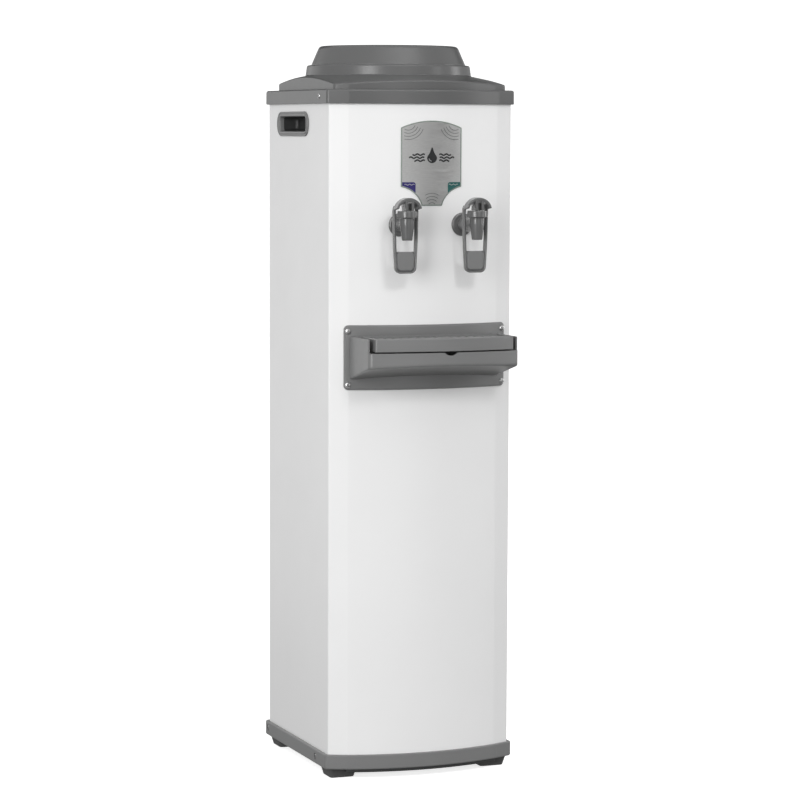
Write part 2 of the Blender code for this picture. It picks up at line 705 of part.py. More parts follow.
# ---------------------------------------------------------------- electrics at the back
def thermostat():
    body = block("thermostat", (0.062, 0.096, 0.843), (0.102, 0.1255, 0.877), "white_plastic", bevel=0.0015)
    shaft = rod("thermostat_shaft", 0.003, 0.120, 0.1365, at=(KNOB_X, 0, KNOB_Z), axis="Y", steps=14)
    return combine(body, shaft, "UNION")


def thermostat_knob():
    low = HALF_DEPTH + GAP + SHEET + 0.0005
    high = REAR_REACH
    profile = [(0, high), (0.0125, high), (0.0140, high - 0.0015), (0.0165, low + 0.004), (0.0165, low),
               (0.0034, low), (0.0034, 0.1370), (0, 0.1370)]
    knob = turned("thermostat_knob", [(r, z - low) for r, z in profile], "grey_plastic", steps=24,
                  at=(KNOB_X, low, KNOB_Z), axis="Y")
    return knob


def cord_gland():
    face = HALF_DEPTH + GAP
    profile = [(0.0037, face + 0.0095), (0.0062, face + 0.0095), (0.0085, face + SHEET + 0.0030),
               (0.0085, face + SHEET + GAP), (0.0062, face + SHEET + GAP), (0.0062, face - 0.0070),
               (0.0037, face - 0.0070)]
    return turned("cord_gland", profile, "dark_rubber", steps=20, at=(GLAND_X, 0, GLAND_Z), axis="Y")


# ---------------------------------------------------------------- drip tray
def box_plan(half, corner_y, inset=0.0, back=-0.120):
    """Plan of the drip tray box: straight sides and a bowed front."""
    rise = FRONT_REACH + corner_y
    radius = BOX_HALF ** 2 / (2 * rise) + rise / 2
    centre = radius - FRONT_REACH
    side = half - inset
    front = []
    for step in range(17):
        x = side * (step / 8 - 1)
        front.append((x, centre - math.sqrt((radius - inset) ** 2 - x * x)))
    return [(-side, back)] + front + [(side, back)]


def tray_screw_spots():
    for side in (-1, 1):
        for row in SCREW_ROWS:
            yield side, row


def drip_tray_housing():
    half = PLATE_HALF + PLATE_SHIFT
    housing = front_band("drip_tray_housing", half, GAP, PLATE_THICK, PLATE_LOW, PLATE_TOP, "grey_plastic")
    middle = (PLATE_SHIFT, (PLATE_LOW + PLATE_TOP) / 2)
    window = rounded_rectangle(middle, (2 * PLATE_HALF, PLATE_TOP - PLATE_LOW), 0.006)
    combine(housing, slab("plate_window", [window], -0.20, -0.10, None, None, "XZ"), "INTERSECT")
    box = slab("tray_box", [box_plan(BOX_HALF, BOX_CORNER_Y)], BOX_LOW_WALL, BOX_TOP)
    wall = front_y(0.0)
    under = [(wall, BOX_LOW_WALL - 0.02), (-0.30, BOX_LOW_WALL - 0.02), (-0.30, BOX_LOW_FRONT + 0.0045),
             (BOX_CORNER_Y - 0.004, BOX_LOW_FRONT), (wall - 0.004, BOX_LOW_WALL)]
    combine(box, slab("box_underside", [under], -0.2, 0.2, None, None, "YZ"))
    behind = front_band("box_behind", 0.13, -0.06, PLATE_THICK - 0.001, 0.5, 0.7)
    combine(box, behind)
    combine(housing, box, "UNION")
    basin = box_plan(TRAY_HALF, BOX_CORNER_Y, 0.004)
    well = slab("tray_basin", [basin], BOX_LOW_FRONT + 0.004, BOX_TOP + 0.01)
    combine(well, front_band("basin_behind", 0.13, -0.06, PLATE_THICK + 0.002, 0.5, 0.7))
    combine(housing, well)
    mouth = TRAY_HALF + TRAY_SLOT
    slot = slab("tray_slot", [[(-mouth, -0.30), (mouth, -0.30), (mouth, -0.1625), (-mouth, -0.1625)]],
                BOX_SPLIT, BOX_TOP + 0.01)
    combine(housing, slot)
    notch_at = (FITTING_SHIFT, 0, BOX_SPLIT + 0.0090)
    notch = rod("finger_notch", 0.0130, 0.212, 0.30, at=notch_at, axis="-Y", steps=32)
    combine(housing, notch)
    return housing


def drip_tray():
    outer = box_plan(TRAY_HALF, BOX_CORNER_Y, 0.0, -0.1640)
    tray = slab("drip_tray", [outer], TRAY_LOW, TRAY_TOP, "grey_plastic")
    inner = box_plan(TRAY_HALF, BOX_CORNER_Y, 0.0035, -0.1675)
    combine(tray, slab("tray_well", [inner], TRAY_LOW + 0.002, TRAY_TOP - 0.0035))
    seat = box_plan(TRAY_HALF, BOX_CORNER_Y, 0.0022, -0.1660)
    combine(tray, slab("grille_seat", [seat], TRAY_TOP - 0.0035, TRAY_TOP + 0.01))
    for side in (-1, 1):
        near, far = sorted((side * (TRAY_HALF - 0.0010), side * (TRAY_HALF - 0.0032)))
        runner = block(f"tray_runner_{side}", (near, -0.2100, BOX_SPLIT + GAP),
                       (far, -0.1660, TRAY_LOW + 0.001))
        combine(tray, runner, "UNION")
    return tray


def drip_grille():
    outline = box_plan(TRAY_HALF, BOX_CORNER_Y, 0.0026, -0.1664)
    slots = []
    for number in range(15):
        x = 0.0118 * (number - 7)
        slots.append(rounded_rectangle((x, -0.1905), (0.0050, 0.036), 0.0024, 2))
    return slab("drip_grille", [outline] + slots, TRAY_TOP - 0.0032, TRAY_TOP - 0.0008, "grey_plastic")


def pan_screw(name, at, turn, finish="zinc_steel"):
    """Pan-head screw on an empty whose -Y points out of the surface."""
    axis = new_empty(name + "_axis", at, turn, CABINET)
    profile = [(0, 0.0021), (0.0022, 0.0019), (0.0037, 0.0010), (0.0040, GAP), (0.0017, GAP),
               (0.0017, -0.0065),
               (0, -0.0075)]
    screw = turned(name, profile, finish, axis, steps=14, axis="-Y")
    hole = rod(name + "_hole", 0.0021, -0.012, 0.004, None, axis, axis="-Y", steps=12)
    return screw, hole


def tray_screws(housing):
    for side, row in tray_screw_spots():
        x = PLATE_SHIFT + side * SCREW_X
        y = front_y(x, PLATE_THICK)
        label = f"tray_screw_{'left' if side < 0 else 'right'}_{'lower' if row < 0.57 else 'upper'}"
        _, hole = pan_screw(label, (x, y, row), FACET_TURN * side)
        combine(housing, hole)
        combine(SHELL, hole)


def cover_screws(cover):
    for side, label in ((-1, "cover_screw_left"), (1, "cover_screw_right")):
        at = (side * (HALF_WIDTH + COVER_GROW - 0.0008), -0.097, 0.9278)
        _, hole = pan_screw(label, at, side * math.pi / 2)
        combine(cover, hole)
        combine(SHELL, hole)
        sink = rod(label + "_sink", 0.0046, 0.0, 0.004, None, hole.parent, axis="-Y", steps=16)
        combine(cover, sink)


# ---------------------------------------------------------------- taps
def tap_body(side_name, frame):
    reach = -TAP_REACH
    shank = [(0, 0.0392), (0.0093, 0.0392), (0.0093, 0.0049), (0.0080, 0.0049), (0.0080, -0.0330),
             (0.0045, -0.0330), (0.0045, -0.0450), (0, -0.0450)]
    body = turned(f"tap_body_{side_name}", shank, "grey_plastic", frame, 20, axis="-Y")
    barrel = [(0, 0.0165), (0.0118, 0.0165), (0.0118, BONNET_LOW + 0.0006), (0.0100, 0.0098),
              (0.0069, SPOUT_LOW),
              (0, SPOUT_LOW)]
    combine(body, turned("barrel_" + side_name, barrel, None, frame, 24, (0, reach, 0)), "UNION")
    chamber = rod("chamber_" + side_name, 0.0066, SEAT_LOW, 0.020, None, frame, (0, reach, 0), steps=20)
    combine(body, chamber)
    bore = rod("spout_bore_" + side_name, 0.0042, SPOUT_LOW - 0.005, 0.0, None, frame, (0, reach, 0),
               steps=16)
    combine(body, bore)
    inlet = rod("inlet_" + side_name, 0.0030, -0.050, 0.0385, None, frame, axis="-Y", steps=12)
    return combine(body, inlet)


def tap_flange(side_name, frame):
    profile = [(0.0083, 0.0046), (0.0125, 0.0046), (0.0150, 0.0034), (0.0158, 0.0016), (0.0158, GAP),
               (0.0083, GAP)]
    return turned(f"tap_flange_{side_name}", profile, "grey_plastic", frame, steps=32, axis="-Y")


def tap_nut(side_name, frame):
    nut = rod(f"tap_nut_{side_name}", 0.0135, 0.0018, 0.0080, "white_plastic", frame, axis="Y", steps=6)
    return combine(nut, rod("nut_bore_" + side_name, 0.0084, 0.0, 0.010, None, frame, axis="Y", steps=24))


def tap_hose(side_name, frame):
    return sleeve(f"tap_hose_{side_name}", 0.0049, 0.0068, 0.0336, HOSE_END, "silicone", frame, axis="Y",
                  steps=16)


def tank_stub(side_name, frame, tank, jacket):
    """Outlet pipe welded into the tank wall in line with the tap, and its way through the jacket."""
    start = HOSE_END - 0.012
    combine(tank, rod("stub_" + side_name, 0.0045, start, start + 0.024, None, frame, axis="Y", steps=16),
            "UNION")
    combine(tank, rod("stub_bore_" + side_name, 0.0032, start - 0.01, start + 0.040, None, frame, axis="Y",
                      steps=12))
    combine(jacket, rod("jacket_hose_" + side_name, 0.0085, 0.05, 0.115, None, frame, axis="Y", steps=16))


def tap_bonnet(side_name, frame):
    low, high = BONNET_LOW, BONNET_TOP
    hole = STEM_R + 0.0004
    profile = [(hole, high), (0.0122, high), (0.0134, high - 0.0014), (0.0134, low), (0.0121, low),
               (0.0121, 0.0168), (hole, 0.0168)]
    return turned(f"tap_bonnet_{side_name}", profile, "grey_plastic", frame, steps=32)


def tap_seal(side_name, frame):
    low = SEAT_LOW + GAP
    profile = [(0, low + 0.0032), (0.0040, low + 0.0032), (0.0061, low + 0.0019), (0.0061, low),
               (0.0036, low),
               (0, low - 0.0009)]
    return turned(f"tap_seal_{side_name}", profile, "silicone", frame, steps=18)


def tap_stem(side_name, frame):
    low = SEAT_LOW + 0.0038
    profile = [(0, 0.0230), (STEM_R, 0.0230), (STEM_R, low + 0.0020), (0.0052, low + 0.0016), (0.0052, low),
               (0, low)]
    stem = turned(f"tap_stem_{side_name}", profile, "grey_plastic", frame, steps=16)
    tongue = block("tongue_" + side_name, (-0.0019, -0.0040, BONNET_TOP + GAP),
                   (0.0019, 0.0040, PIN_Z + 0.0030),
                   None, frame)
    combine(stem, tongue, "UNION")
    eye = rod("stem_eye_" + side_name, 0.0015, -0.01, 0.01, None, frame, (0, 0, PIN_Z), "X", 12)
    return combine(stem, eye)


def tap_spring(side_name, frame):
    turns, to_a_turn = 5, 10
    low, high = SEAT_LOW + 0.0066, 0.0162
    points = []
    for step in range(turns * to_a_turn + 1):
        angle = 2 * math.pi * step / to_a_turn
        height = low + (high - low) * step / (turns * to_a_turn)
        points.append((0.0044 * math.cos(angle), 0.0044 * math.sin(angle), height))
    return tube(f"tap_spring_{side_name}", points, 0.0005, "zinc_steel", frame, 0)


def lever_side(inner):
    """Right half of the lever frame's outline, from its head down to its foot."""
    if inner:
        arch = [(0.0145 * math.sin(a), 0.0188 + 0.0130 * math.cos(a)) for a in (0.0, 0.4, 0.8, 1.2,
                                                                                math.pi / 2)]
        return arch + [(0.0143, 0.0080), (0.0138, -0.0100), (0.0130, PAD_TOP)]
    arch = [(0.0180 * math.sin(a), 0.0180 + 0.0193 * math.cos(a)) for a in (0.0, 0.3, 0.6, 0.9, 1.2,
                                                                            math.pi / 2)]
    heel = [(0.0073 + 0.0080 * math.cos(a), LEVER_LOW + 0.0080 - 0.0080 * math.sin(a))
            for a in (0.0, 0.4, 0.8, 1.2, math.pi / 2)]
    return arch + [(0.0178, 0.0100), (0.0175, -0.0100), (0.0168, -0.0300)] + heel


def mirrored(half):
    return half + [(-x, z) for x, z in half[::-1] if x > 0]


def tap_lever(side_name, frame):
    """Closed push frame; its head is a hood over the bonnet, with two ribs that hold the pin."""
    front, back = LEVER_BACK - LEVER_DEPTH / 2, LEVER_BACK + LEVER_DEPTH / 2
    outer, inner = mirrored(lever_side(False)), mirrored(lever_side(True))
    lever = slab(f"tap_lever_{side_name}", [outer, inner], front, back, "grey_plastic", frame, "XZ")
    combine(lever, block("legs_end_" + side_name, (-0.03, -0.03, 0.0260), (0.03, 0.03, 0.06), None, frame))
    hood = slab("hood_" + side_name, [outer, inner], HOOD_FRONT, 0.0065, None, frame, "XZ")
    combine(hood, block("hood_low_" + side_name, (-0.03, -0.03, -0.10), (0.03, 0.03, HOOD_LOW), None, frame))
    combine(lever, hood, "UNION")
    for side in (-1, 1):
        near, far = sorted((side * RIB_NEAR, side * RIB_FAR))
        rib = block(f"rib_{side_name}_{side}", (near, HOOD_FRONT - 0.0010, BONNET_TOP + GAP),
                    (far, 0.0060, 0.0330),
                    None, frame)
        combine(lever, rib, "UNION")
    combine(lever, rod("lever_eye_" + side_name, 0.0015, -0.0070, 0.0070, None, frame, (0, 0, PIN_Z), "X",
                       12))
    recess = rounded_rectangle((0.0, (PAD_LOW + PAD_TOP) / 2 + 0.003), (0.0246, PAD_TOP - PAD_LOW + 0.006),
                               0.003, 3)
    combine(lever, slab("pad_recess_" + side_name, [recess], front - 0.01, front + 0.0032, None, frame, "XZ"))
    set_origin(lever, (0, 0, PIN_Z))
    return lever


def set_origin(obj, point):
    """Move an object's origin to a point of its parent's frame and keep the shape where it is."""
    obj.data.transform(Matrix.Translation(-Vector(point)))
    obj.location = point


def lever_pin(side_name, frame):
    return rod(f"lever_pin_{side_name}", 0.0012, -RIB_FAR, RIB_FAR, "zinc_steel", frame, (0, 0, PIN_Z), "X",
               12)


def tap(side_name, x, tank, jacket):
    """The shank stands square to the bowed front; the head on the barrel faces straight forward."""
    lean = math.asin(x / FRONT_R)
    wall = new_empty(f"tap_{side_name}_axis", (x, front_y(x), TAP_Z), lean, CABINET)
    barrel = (x + TAP_REACH * math.sin(lean), front_y(x) - TAP_REACH * math.cos(lean), TAP_Z)
    head = new_empty(f"tap_head_{side_name}_axis", barrel, 0.0, CABINET)
    tap_body(side_name, wall)
    tap_flange(side_name, wall)
    tap_nut(side_name, wall)
    tap_hose(side_name, wall)
    tank_stub(side_name, wall, tank, jacket)
    combine(SHELL, rod("shank_hole_" + side_name, 0.0084, -0.01, 0.01, None, wall, axis="Y", steps=20))
    tap_bonnet(side_name, head)
    tap_seal(side_name, head)
    tap_stem(side_name, head)
    tap_spring(side_name, head)
    tap_lever(side_name, head)
    lever_pin(side_name, head)


# ---------------------------------------------------------------- assembly
clear_scene()
PARTS = new_collection("column_water_dispenser")
CUTTERS = new_collection("cutters")
CABINET = new_empty("cabinet_frame", (0.0, SETBACK, 0.0))

base_tray()
for end, foot_y in (("front", -0.1075), ("rear", 0.1085)):
    for hand, foot_x in (("left", -0.1105), ("right", 0.1105)):
        foot(f"foot_{end}_{hand}", foot_x, foot_y)
SHELL = cabinet_shell()
rear_panel()
COVER = top_cover()
bottle_collar()
grip_handle("grip_handle_left", -1)
grip_handle("grip_handle_right", 1)
badge_plate()

feed_funnel()
tank_lid()
TANK = water_tank()
separator_disc()
JACKET = insulation_jacket()
evaporator_coil()
tank_shelf()

compressor()
relay_cover()
condenser_coil()
condenser_bracket("condenser_bracket_upper", CONDENSER_LOW + CONDENSER_PITCH * 7.5)
condenser_bracket("condenser_bracket_lower", CONDENSER_LOW + CONDENSER_PITCH * 1.5)
filter_drier()
cooling_tubes()

thermostat()
thermostat_knob()
cord_gland()

HOUSING = drip_tray_housing()
drip_tray()
drip_grille()
tray_screws(HOUSING)
cover_screws(COVER)

tap("left", FITTING_SHIFT - TAP_SPACING, TANK, JACKET)
tap("right", FITTING_SHIFT + TAP_SPACING, TANK, JACKET)
bpy.context.view_layer.update()
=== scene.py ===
"""Looks of the column water dispenser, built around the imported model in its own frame, +Z up.

Pieces are modelled in millimetres in the cabinet's frame, whose Y = 0 is the middle of the side panels.
piece() shifts them by SETBACK into the row's frame and scales them to metres. Materials, lights and the
camera are in metres. Hidden works keep their CAD meshes and get procedural materials.
"""

import json
from math import asin, atan, atan2, cos, pi, radians, sin, sqrt, tan

import bmesh
import bpy
from mathutils import Matrix, Vector

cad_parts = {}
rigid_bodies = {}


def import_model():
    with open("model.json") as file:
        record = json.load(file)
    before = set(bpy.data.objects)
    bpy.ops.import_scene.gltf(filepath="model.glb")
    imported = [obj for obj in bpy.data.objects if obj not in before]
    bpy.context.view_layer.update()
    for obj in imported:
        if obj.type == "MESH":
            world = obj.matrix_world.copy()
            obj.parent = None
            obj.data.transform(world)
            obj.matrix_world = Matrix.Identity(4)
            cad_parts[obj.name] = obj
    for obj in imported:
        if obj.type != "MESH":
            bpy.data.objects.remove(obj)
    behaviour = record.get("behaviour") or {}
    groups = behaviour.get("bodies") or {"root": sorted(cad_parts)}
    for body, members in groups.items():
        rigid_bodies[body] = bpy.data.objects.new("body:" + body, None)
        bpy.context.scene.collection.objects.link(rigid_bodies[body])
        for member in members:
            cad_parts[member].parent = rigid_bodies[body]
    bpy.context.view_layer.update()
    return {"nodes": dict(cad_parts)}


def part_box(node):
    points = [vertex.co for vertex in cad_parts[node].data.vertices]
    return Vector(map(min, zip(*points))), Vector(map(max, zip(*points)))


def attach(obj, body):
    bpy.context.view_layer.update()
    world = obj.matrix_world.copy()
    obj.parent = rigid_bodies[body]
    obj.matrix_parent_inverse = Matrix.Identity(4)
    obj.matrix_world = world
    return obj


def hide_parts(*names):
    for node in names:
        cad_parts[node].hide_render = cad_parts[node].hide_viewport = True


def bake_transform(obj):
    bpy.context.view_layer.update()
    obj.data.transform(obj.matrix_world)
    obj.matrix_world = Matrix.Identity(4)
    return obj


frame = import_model()
MM = 0.001


def box_of(node):
    """Lowest and highest corner of a CAD node, in millimetres."""
    return [Vector(corner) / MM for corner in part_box(node)]


# ---- sizes read from the frame
SHELL_LOW, SHELL_HIGH = box_of("cabinet_shell")
COVER_LOW, COVER_HIGH = box_of("top_cover")
BASE_LOW = box_of("base_tray")[0]
COLLAR_LOW, COLLAR_HIGH = box_of("bottle_collar")
HOUSING_LOW = box_of("drip_tray_housing")[0]

HALF_WIDTH = SHELL_HIGH.x
HALF_DEPTH = 127.2
SETBACK = SHELL_HIGH.y - HALF_DEPTH
FACET_X = 107.6  # the bowed front meets the corner facets here
FACET_Y = -136.3
BOW = 18.1
FRONT_R = FACET_X ** 2 / (2 * BOW) + BOW / 2
FRONT_CENTRE = FACET_Y - BOW + FRONT_R
FACET_SLOPE = (-HALF_DEPTH - FACET_Y) / (HALF_WIDTH - FACET_X)
SHEET = 1  # thickness of the casing's steel sheet
GAP = 0.3  # between pieces that lie on each other
FOLD = 0.5  # the bow flattens towards the fold of the facets
CORNER_DROP = 1.4

SHOULDER_X = 124.8  # the cover's shoulder, its cone and its ring
SHOULDER_BACK = 110.6
SHOULDER_FRONT = 4
SHOULDER_SLOPE = 0.21
RING_LOW_R = 114.9
RING_LOW_Z = 957
LEDGE_Z = 937

CENTRE = Vector((0.0, SETBACK, 0.0))
HANDS = ((-1, "left"), (1, "right"))
TAP_Z = 755.5
BONNET_TOP = 19.8
SPRING_LOW = 3.1
SPRING_TOP = 16.2
LEVER_LOW = -64
LEVER_BACK = 7
PAD_TOP = -34.8
HOOD_LOW = 20.5
HOOD_NOSE = 6.5  # the hood's lower edge rises from here to its front


# ---- mesh helpers
NO_CORNER = 0.06  # a turn below this angle is left as it is


def soften(points, radius, steps=3, closed=False):
    """Round the corners of a 2D polyline; a point's third value is its own radius."""
    rounded = []
    for i, (x, y, *own) in enumerate(points):
        p, size = Vector((x, y)), own[0] if own else radius
        before, after = (Vector(points[(i + step) % len(points)][:2]) - p for step in (-1, 1))
        turn = pi - before.angle(after, pi)
        at_end = not closed and i in (0, len(points) - 1)
        if at_end or size <= 0.0 or turn < NO_CORNER:
            rounded.append(tuple(p))
            continue
        reach = min(size * tan(turn / 2), 0.48 * before.length, 0.48 * after.length)
        size = reach / tan(turn / 2)
        before.normalize()
        after.normalize()
        centre = p + (before + after).normalized() * size / cos(turn / 2)
        start, end = p + before * reach, p + after * reach
        count = max(1, round(steps * turn / (pi / 2)))
        for step in range(count + 1):
            mixed = start.lerp(end, step / count) - centre
            rounded.append(tuple(centre + mixed.normalized() * size))
    return rounded


def polar(radius, angle):
    return radius * cos(angle), radius * sin(angle)


def spread(half, steps):
    """Evenly spaced values from -half to half."""
    return [half * (2 * i / steps - 1) for i in range(steps + 1)]


def linked(name, data):
    """A new object in the scene."""
    obj = bpy.data.objects.new(name, data)
    bpy.context.scene.collection.objects.link(obj)
    return obj


def mesh_of(name, bm):
    """A mesh with the bmesh's form; the bmesh is freed."""
    mesh = bpy.data.meshes.new(name)
    bm.to_mesh(mesh)
    bm.free()
    return mesh


def taken(obj, *helpers):
    """The form of an object with its modifiers, as a bmesh; the object and its helpers are deleted."""
    graph = bpy.context.evaluated_depsgraph_get()
    mesh = bpy.data.meshes.new_from_object(obj.evaluated_get(graph))
    bm = bmesh.new()
    bm.from_mesh(mesh)
    bpy.data.meshes.remove(mesh)
    for used in (obj, *helpers):
        bpy.data.batch_remove([used, used.data])
    return bm


def faced(bm):
    """The same bmesh, its faces turned outwards."""
    bmesh.ops.recalc_face_normals(bm, faces=bm.faces)
    return bm


def loft(loops, ring=False, caps=(True, True)):
    """Skin over loops, capped at its ends or joined into a ring; a loop of one point is a tip."""
    bm = bmesh.new()
    rows = [[bm.verts.new(p) for p in loop] for loop in loops]
    pairs = list(zip(rows, rows[1:]))
    if ring:
        pairs.append((rows[-1], rows[0]))
    for cap, row in zip(caps, (rows[0], rows[-1])):
        if cap and not ring:
            bm.faces.new(row)
    for one, other in pairs:
        for i in range(max(len(one), len(other))):
            j = i + 1
            corners = one[i % len(one)], one[j % len(one)], other[j % len(other)], other[i % len(other)]
            bm.faces.new(list(dict.fromkeys(corners)))
    return faced(bm)


def revolve(profile, steps, widen=1.0):
    """A (radius, height) profile turned about Z; it closes on itself unless it ends on the axis."""
    turns = [polar(1.0, 2 * pi * i / steps) for i in range(steps)]
    loops = [[(radius * widen * x, radius * y, z) for x, y in (turns if radius else turns[:1])]
             for radius, z in profile]
    return loft(loops, len(loops[0]) > 1 and len(loops[-1]) > 1, (False, False))


def skinned(curve, loops, closed):
    """The form of a curve that runs through the points of each loop."""
    for loop in loops:
        spline = curve.splines.new("POLY")
        spline.points.add(len(loop) - 1)
        for point, place in zip(spline.points, loop):
            point.co = (*Vector(place).to_3d(), 1.0)
        spline.use_cyclic_u = closed
    bm = taken(linked("curve", curve))
    bmesh.ops.remove_doubles(bm, verts=bm.verts, dist=0.01)
    return bm


def plate(loops, thickness, edge=0.0, edge_steps=2):
    """A flat plate in XY, its base on Z = 0: the first outline is its rim, others are holes."""
    curve = bpy.data.curves.new("plate", "CURVE")
    curve.dimensions = "2D"
    curve.fill_mode = "BOTH"
    curve.extrude = thickness / 2 - edge
    curve.bevel_depth = edge
    curve.bevel_resolution = edge_steps
    curve.offset = -edge
    return faced(shifted(skinned(curve, loops, True), 0, 0, thickness / 2))


def tube(points, radius, sides=10):
    """A round tube along points."""
    curve = bpy.data.curves.new("tube", "CURVE")
    curve.dimensions = "3D"
    curve.bevel_depth = radius
    curve.bevel_resolution = max(0, sides // 2 - 2)
    curve.use_fill_caps = True
    return faced(skinned(curve, [points], False))


def block(low, high, edge=0.0, segments=2):
    """A box between two corners, its edges rounded."""
    bm = bmesh.new()
    bmesh.ops.create_cube(bm, size=1.0)
    for vert in bm.verts:
        vert.co = [b if c > 0 else a for a, b, c in zip(low, high, vert.co)]
    if edge:
        bmesh.ops.bevel(bm, geom=bm.edges[:], offset=edge, segments=segments, profile=0.5, affect="EDGES")
    return bm


def moved(bm, matrix):
    bmesh.ops.transform(bm, matrix=matrix, verts=bm.verts)
    return bm


def shifted(bm, x, y, z):
    return moved(bm, Matrix.Translation((x, y, z)))


def merged(*parts):
    """Several bmeshes as one, without cutting them."""
    whole = bmesh.new()
    for part in parts:
        mesh = mesh_of("part", part)
        whole.from_mesh(mesh)
        bpy.data.meshes.remove(mesh)
    return whole


def carve(bm, tool, operation="DIFFERENCE"):
    """Boolean of two bmeshes."""
    body, other = (linked("carve", mesh_of("carve", part)) for part in (bm, tool))
    boolean = body.modifiers.new("carve", "BOOLEAN")
    boolean.operation = operation
    boolean.solver = "EXACT"
    boolean.object = other
    return taken(body, other)


def upright(bm):
    """Turn a plate from XY to stand in XZ, its thickness going towards -Y."""
    return moved(bm, Matrix(((1, 0, 0, 0), (0, 0, -1, 0), (0, 1, 0, 0), (0, 0, 0, 1))))


def bend_to_front(bm, half, steps=40):
    """Wrap an upright plate, base on Y = 0, onto the cabinet's bowed front."""
    for station in spread(half, steps)[1:-1]:
        geometry = bm.verts[:] + bm.edges[:] + bm.faces[:]
        bmesh.ops.bisect_plane(bm, geom=geometry, plane_co=(station, 0, 0), plane_no=(1, 0, 0))
    for vert in bm.verts:
        vert.co.y += front_y(vert.co.x)
    return bm


def piece(name, bm, material, node="", body="cabinet", sharp=38):
    """Finish a bmesh as a shown piece that rides on a CAD body, in place of a CAD node or beside them."""
    mesh = mesh_of(name, bm)
    mesh.transform(Matrix.Scale(MM, 4) @ Matrix.Translation(CENTRE))
    mesh.materials.append(material)
    mesh.shade_smooth()
    mesh.set_sharp_from_angle(angle=radians(sharp))
    obj = linked(name, mesh)
    obj.modifiers.new("normals", "WEIGHTED_NORMAL").keep_sharp = True
    if body:
        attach(obj, body)
    if node:
        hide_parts(node)
    return obj


def stand_in(node, part, *rest, **options):
    """A piece in place of one CAD node, named after it and the part it shows."""
    return piece(f"{node}_{part}", *rest, node=node, **options)


# ---- outlines in plan
def fold_x(grow):
    """Where the bowed front, grown outwards, meets the corner facets."""
    return FACET_X * (FRONT_R + grow) / FRONT_R


def front_y(x, grow=0.0):
    """The front face's place at x."""
    edge = fold_x(grow)
    bowed = FRONT_CENTRE - sqrt((FRONT_R + grow) ** 2 - min(abs(x), edge) ** 2)
    return bowed + FACET_SLOPE * max(0.0, abs(x) - edge)


def front_path(half, grow, steps=40):
    """Points along the front from -half to half, with the facets if they are reached."""
    edge = fold_x(grow)
    path = [(x, front_y(x, grow) - FOLD * (abs(x) / edge) ** 8) for x in spread(min(half, edge), steps)]
    if half > edge:
        corner = front_y(half, grow) + CORNER_DROP * (half - edge) / (HALF_WIDTH - FACET_X)
        path = [(-half, corner)] + path + [(half, corner)]
    return path


def plan(grow, radius, steps=6):
    """Closed outline of the cabinet, grown outwards, with rounded corners."""
    half, back = HALF_WIDTH + grow, HALF_DEPTH + grow
    return soften([(-half, back)] + front_path(half, grow) + [(half, back)], radius, steps, closed=True)


def rounded_rectangle(centre, size, radius, steps=6):
    corners = [(centre[0] + i * size[0] / 2, centre[1] + j * size[1] / 2)
               for i, j in ((-1, -1), (1, -1), (1, 1), (-1, 1))]
    return soften(corners, radius, steps, closed=True)


def arc_points(centre, radius, start, end, steps):
    """Points of an arc; its start and end are given in half turns."""
    points = [polar(radius, pi * (start + (end - start) * i / steps)) for i in range(steps + 1)]
    return [(centre[0] + x, centre[1] + y) for x, y in points]


def level(loop, z):
    return [(x, y, z) for x, y in loop]


# ---- materials
def set_inputs(node, **values):
    """Set a node's inputs; coat_weight stands for the input Coat Weight."""
    for name, value in values.items():
        node.inputs[name.replace("_", " ").title()].default_value = value


class Nodes:
    """A material's node tree, built up from object coordinates in metres."""

    def __init__(self, name, colour, rough, **inputs):
        self.material = bpy.data.materials.new(name)
        self.material.use_nodes = True
        self.material.diffuse_color = (*colour, 1.0)
        self.colour, self.rough = colour, rough
        self.tree = self.material.node_tree
        self.shader = self.tree.nodes["Principled BSDF"]
        set_inputs(self.shader, roughness=rough, **inputs)
        self.place = self.tree.nodes.new("ShaderNodeTexCoord").outputs["Object"]

    def add(self, kind, source, socket, **inputs):
        """A new node with a source linked to one of its sockets."""
        node = self.tree.nodes.new("ShaderNode" + kind)
        set_inputs(node, **inputs)
        self.tree.links.new(source, node.inputs[socket])
        return node

    def drive(self, source, target):
        """Link a source to the shader."""
        self.tree.links.new(source, self.shader.inputs[target])

    def mapped(self, stretch):
        return self.add("Mapping", self.place, "Vector", scale=stretch).outputs["Vector"]

    def noise(self, scale, detail, stretch=(1, 1, 1), distortion=0.0):
        node = self.add("TexNoise", self.mapped(stretch), "Vector", scale=scale, detail=detail,
                        distortion=distortion)
        return node.outputs["Fac"]

    def tint(self, source, places, factors):
        """Colour between two multiples of its plain value, reached at two places of a texture."""
        node = self.add("ValToRGB", source, "Fac")
        for element, place, factor in zip(node.color_ramp.elements, places, factors):
            element.position = place
            element.color = (*(min(1.0, part * factor) for part in self.colour), 1.0)
        self.drive(node.outputs["Color"], "Base Color")

    def gloss(self, source, low, high):
        """Roughness between two multiples of its plain value."""
        node = self.add("MapRange", source, "Value", from_min=0.3, from_max=0.7, to_min=self.rough * low,
                        to_max=min(1.0, self.rough * high))
        self.drive(node.outputs["Result"], "Roughness")

    def bump(self, source, strength, distance):
        """Raise the face by a texture, which finishes the material."""
        node = self.add("Bump", source, "Height", strength=strength, distance=distance)
        self.drive(node.outputs["Normal"], "Normal")
        return self.material


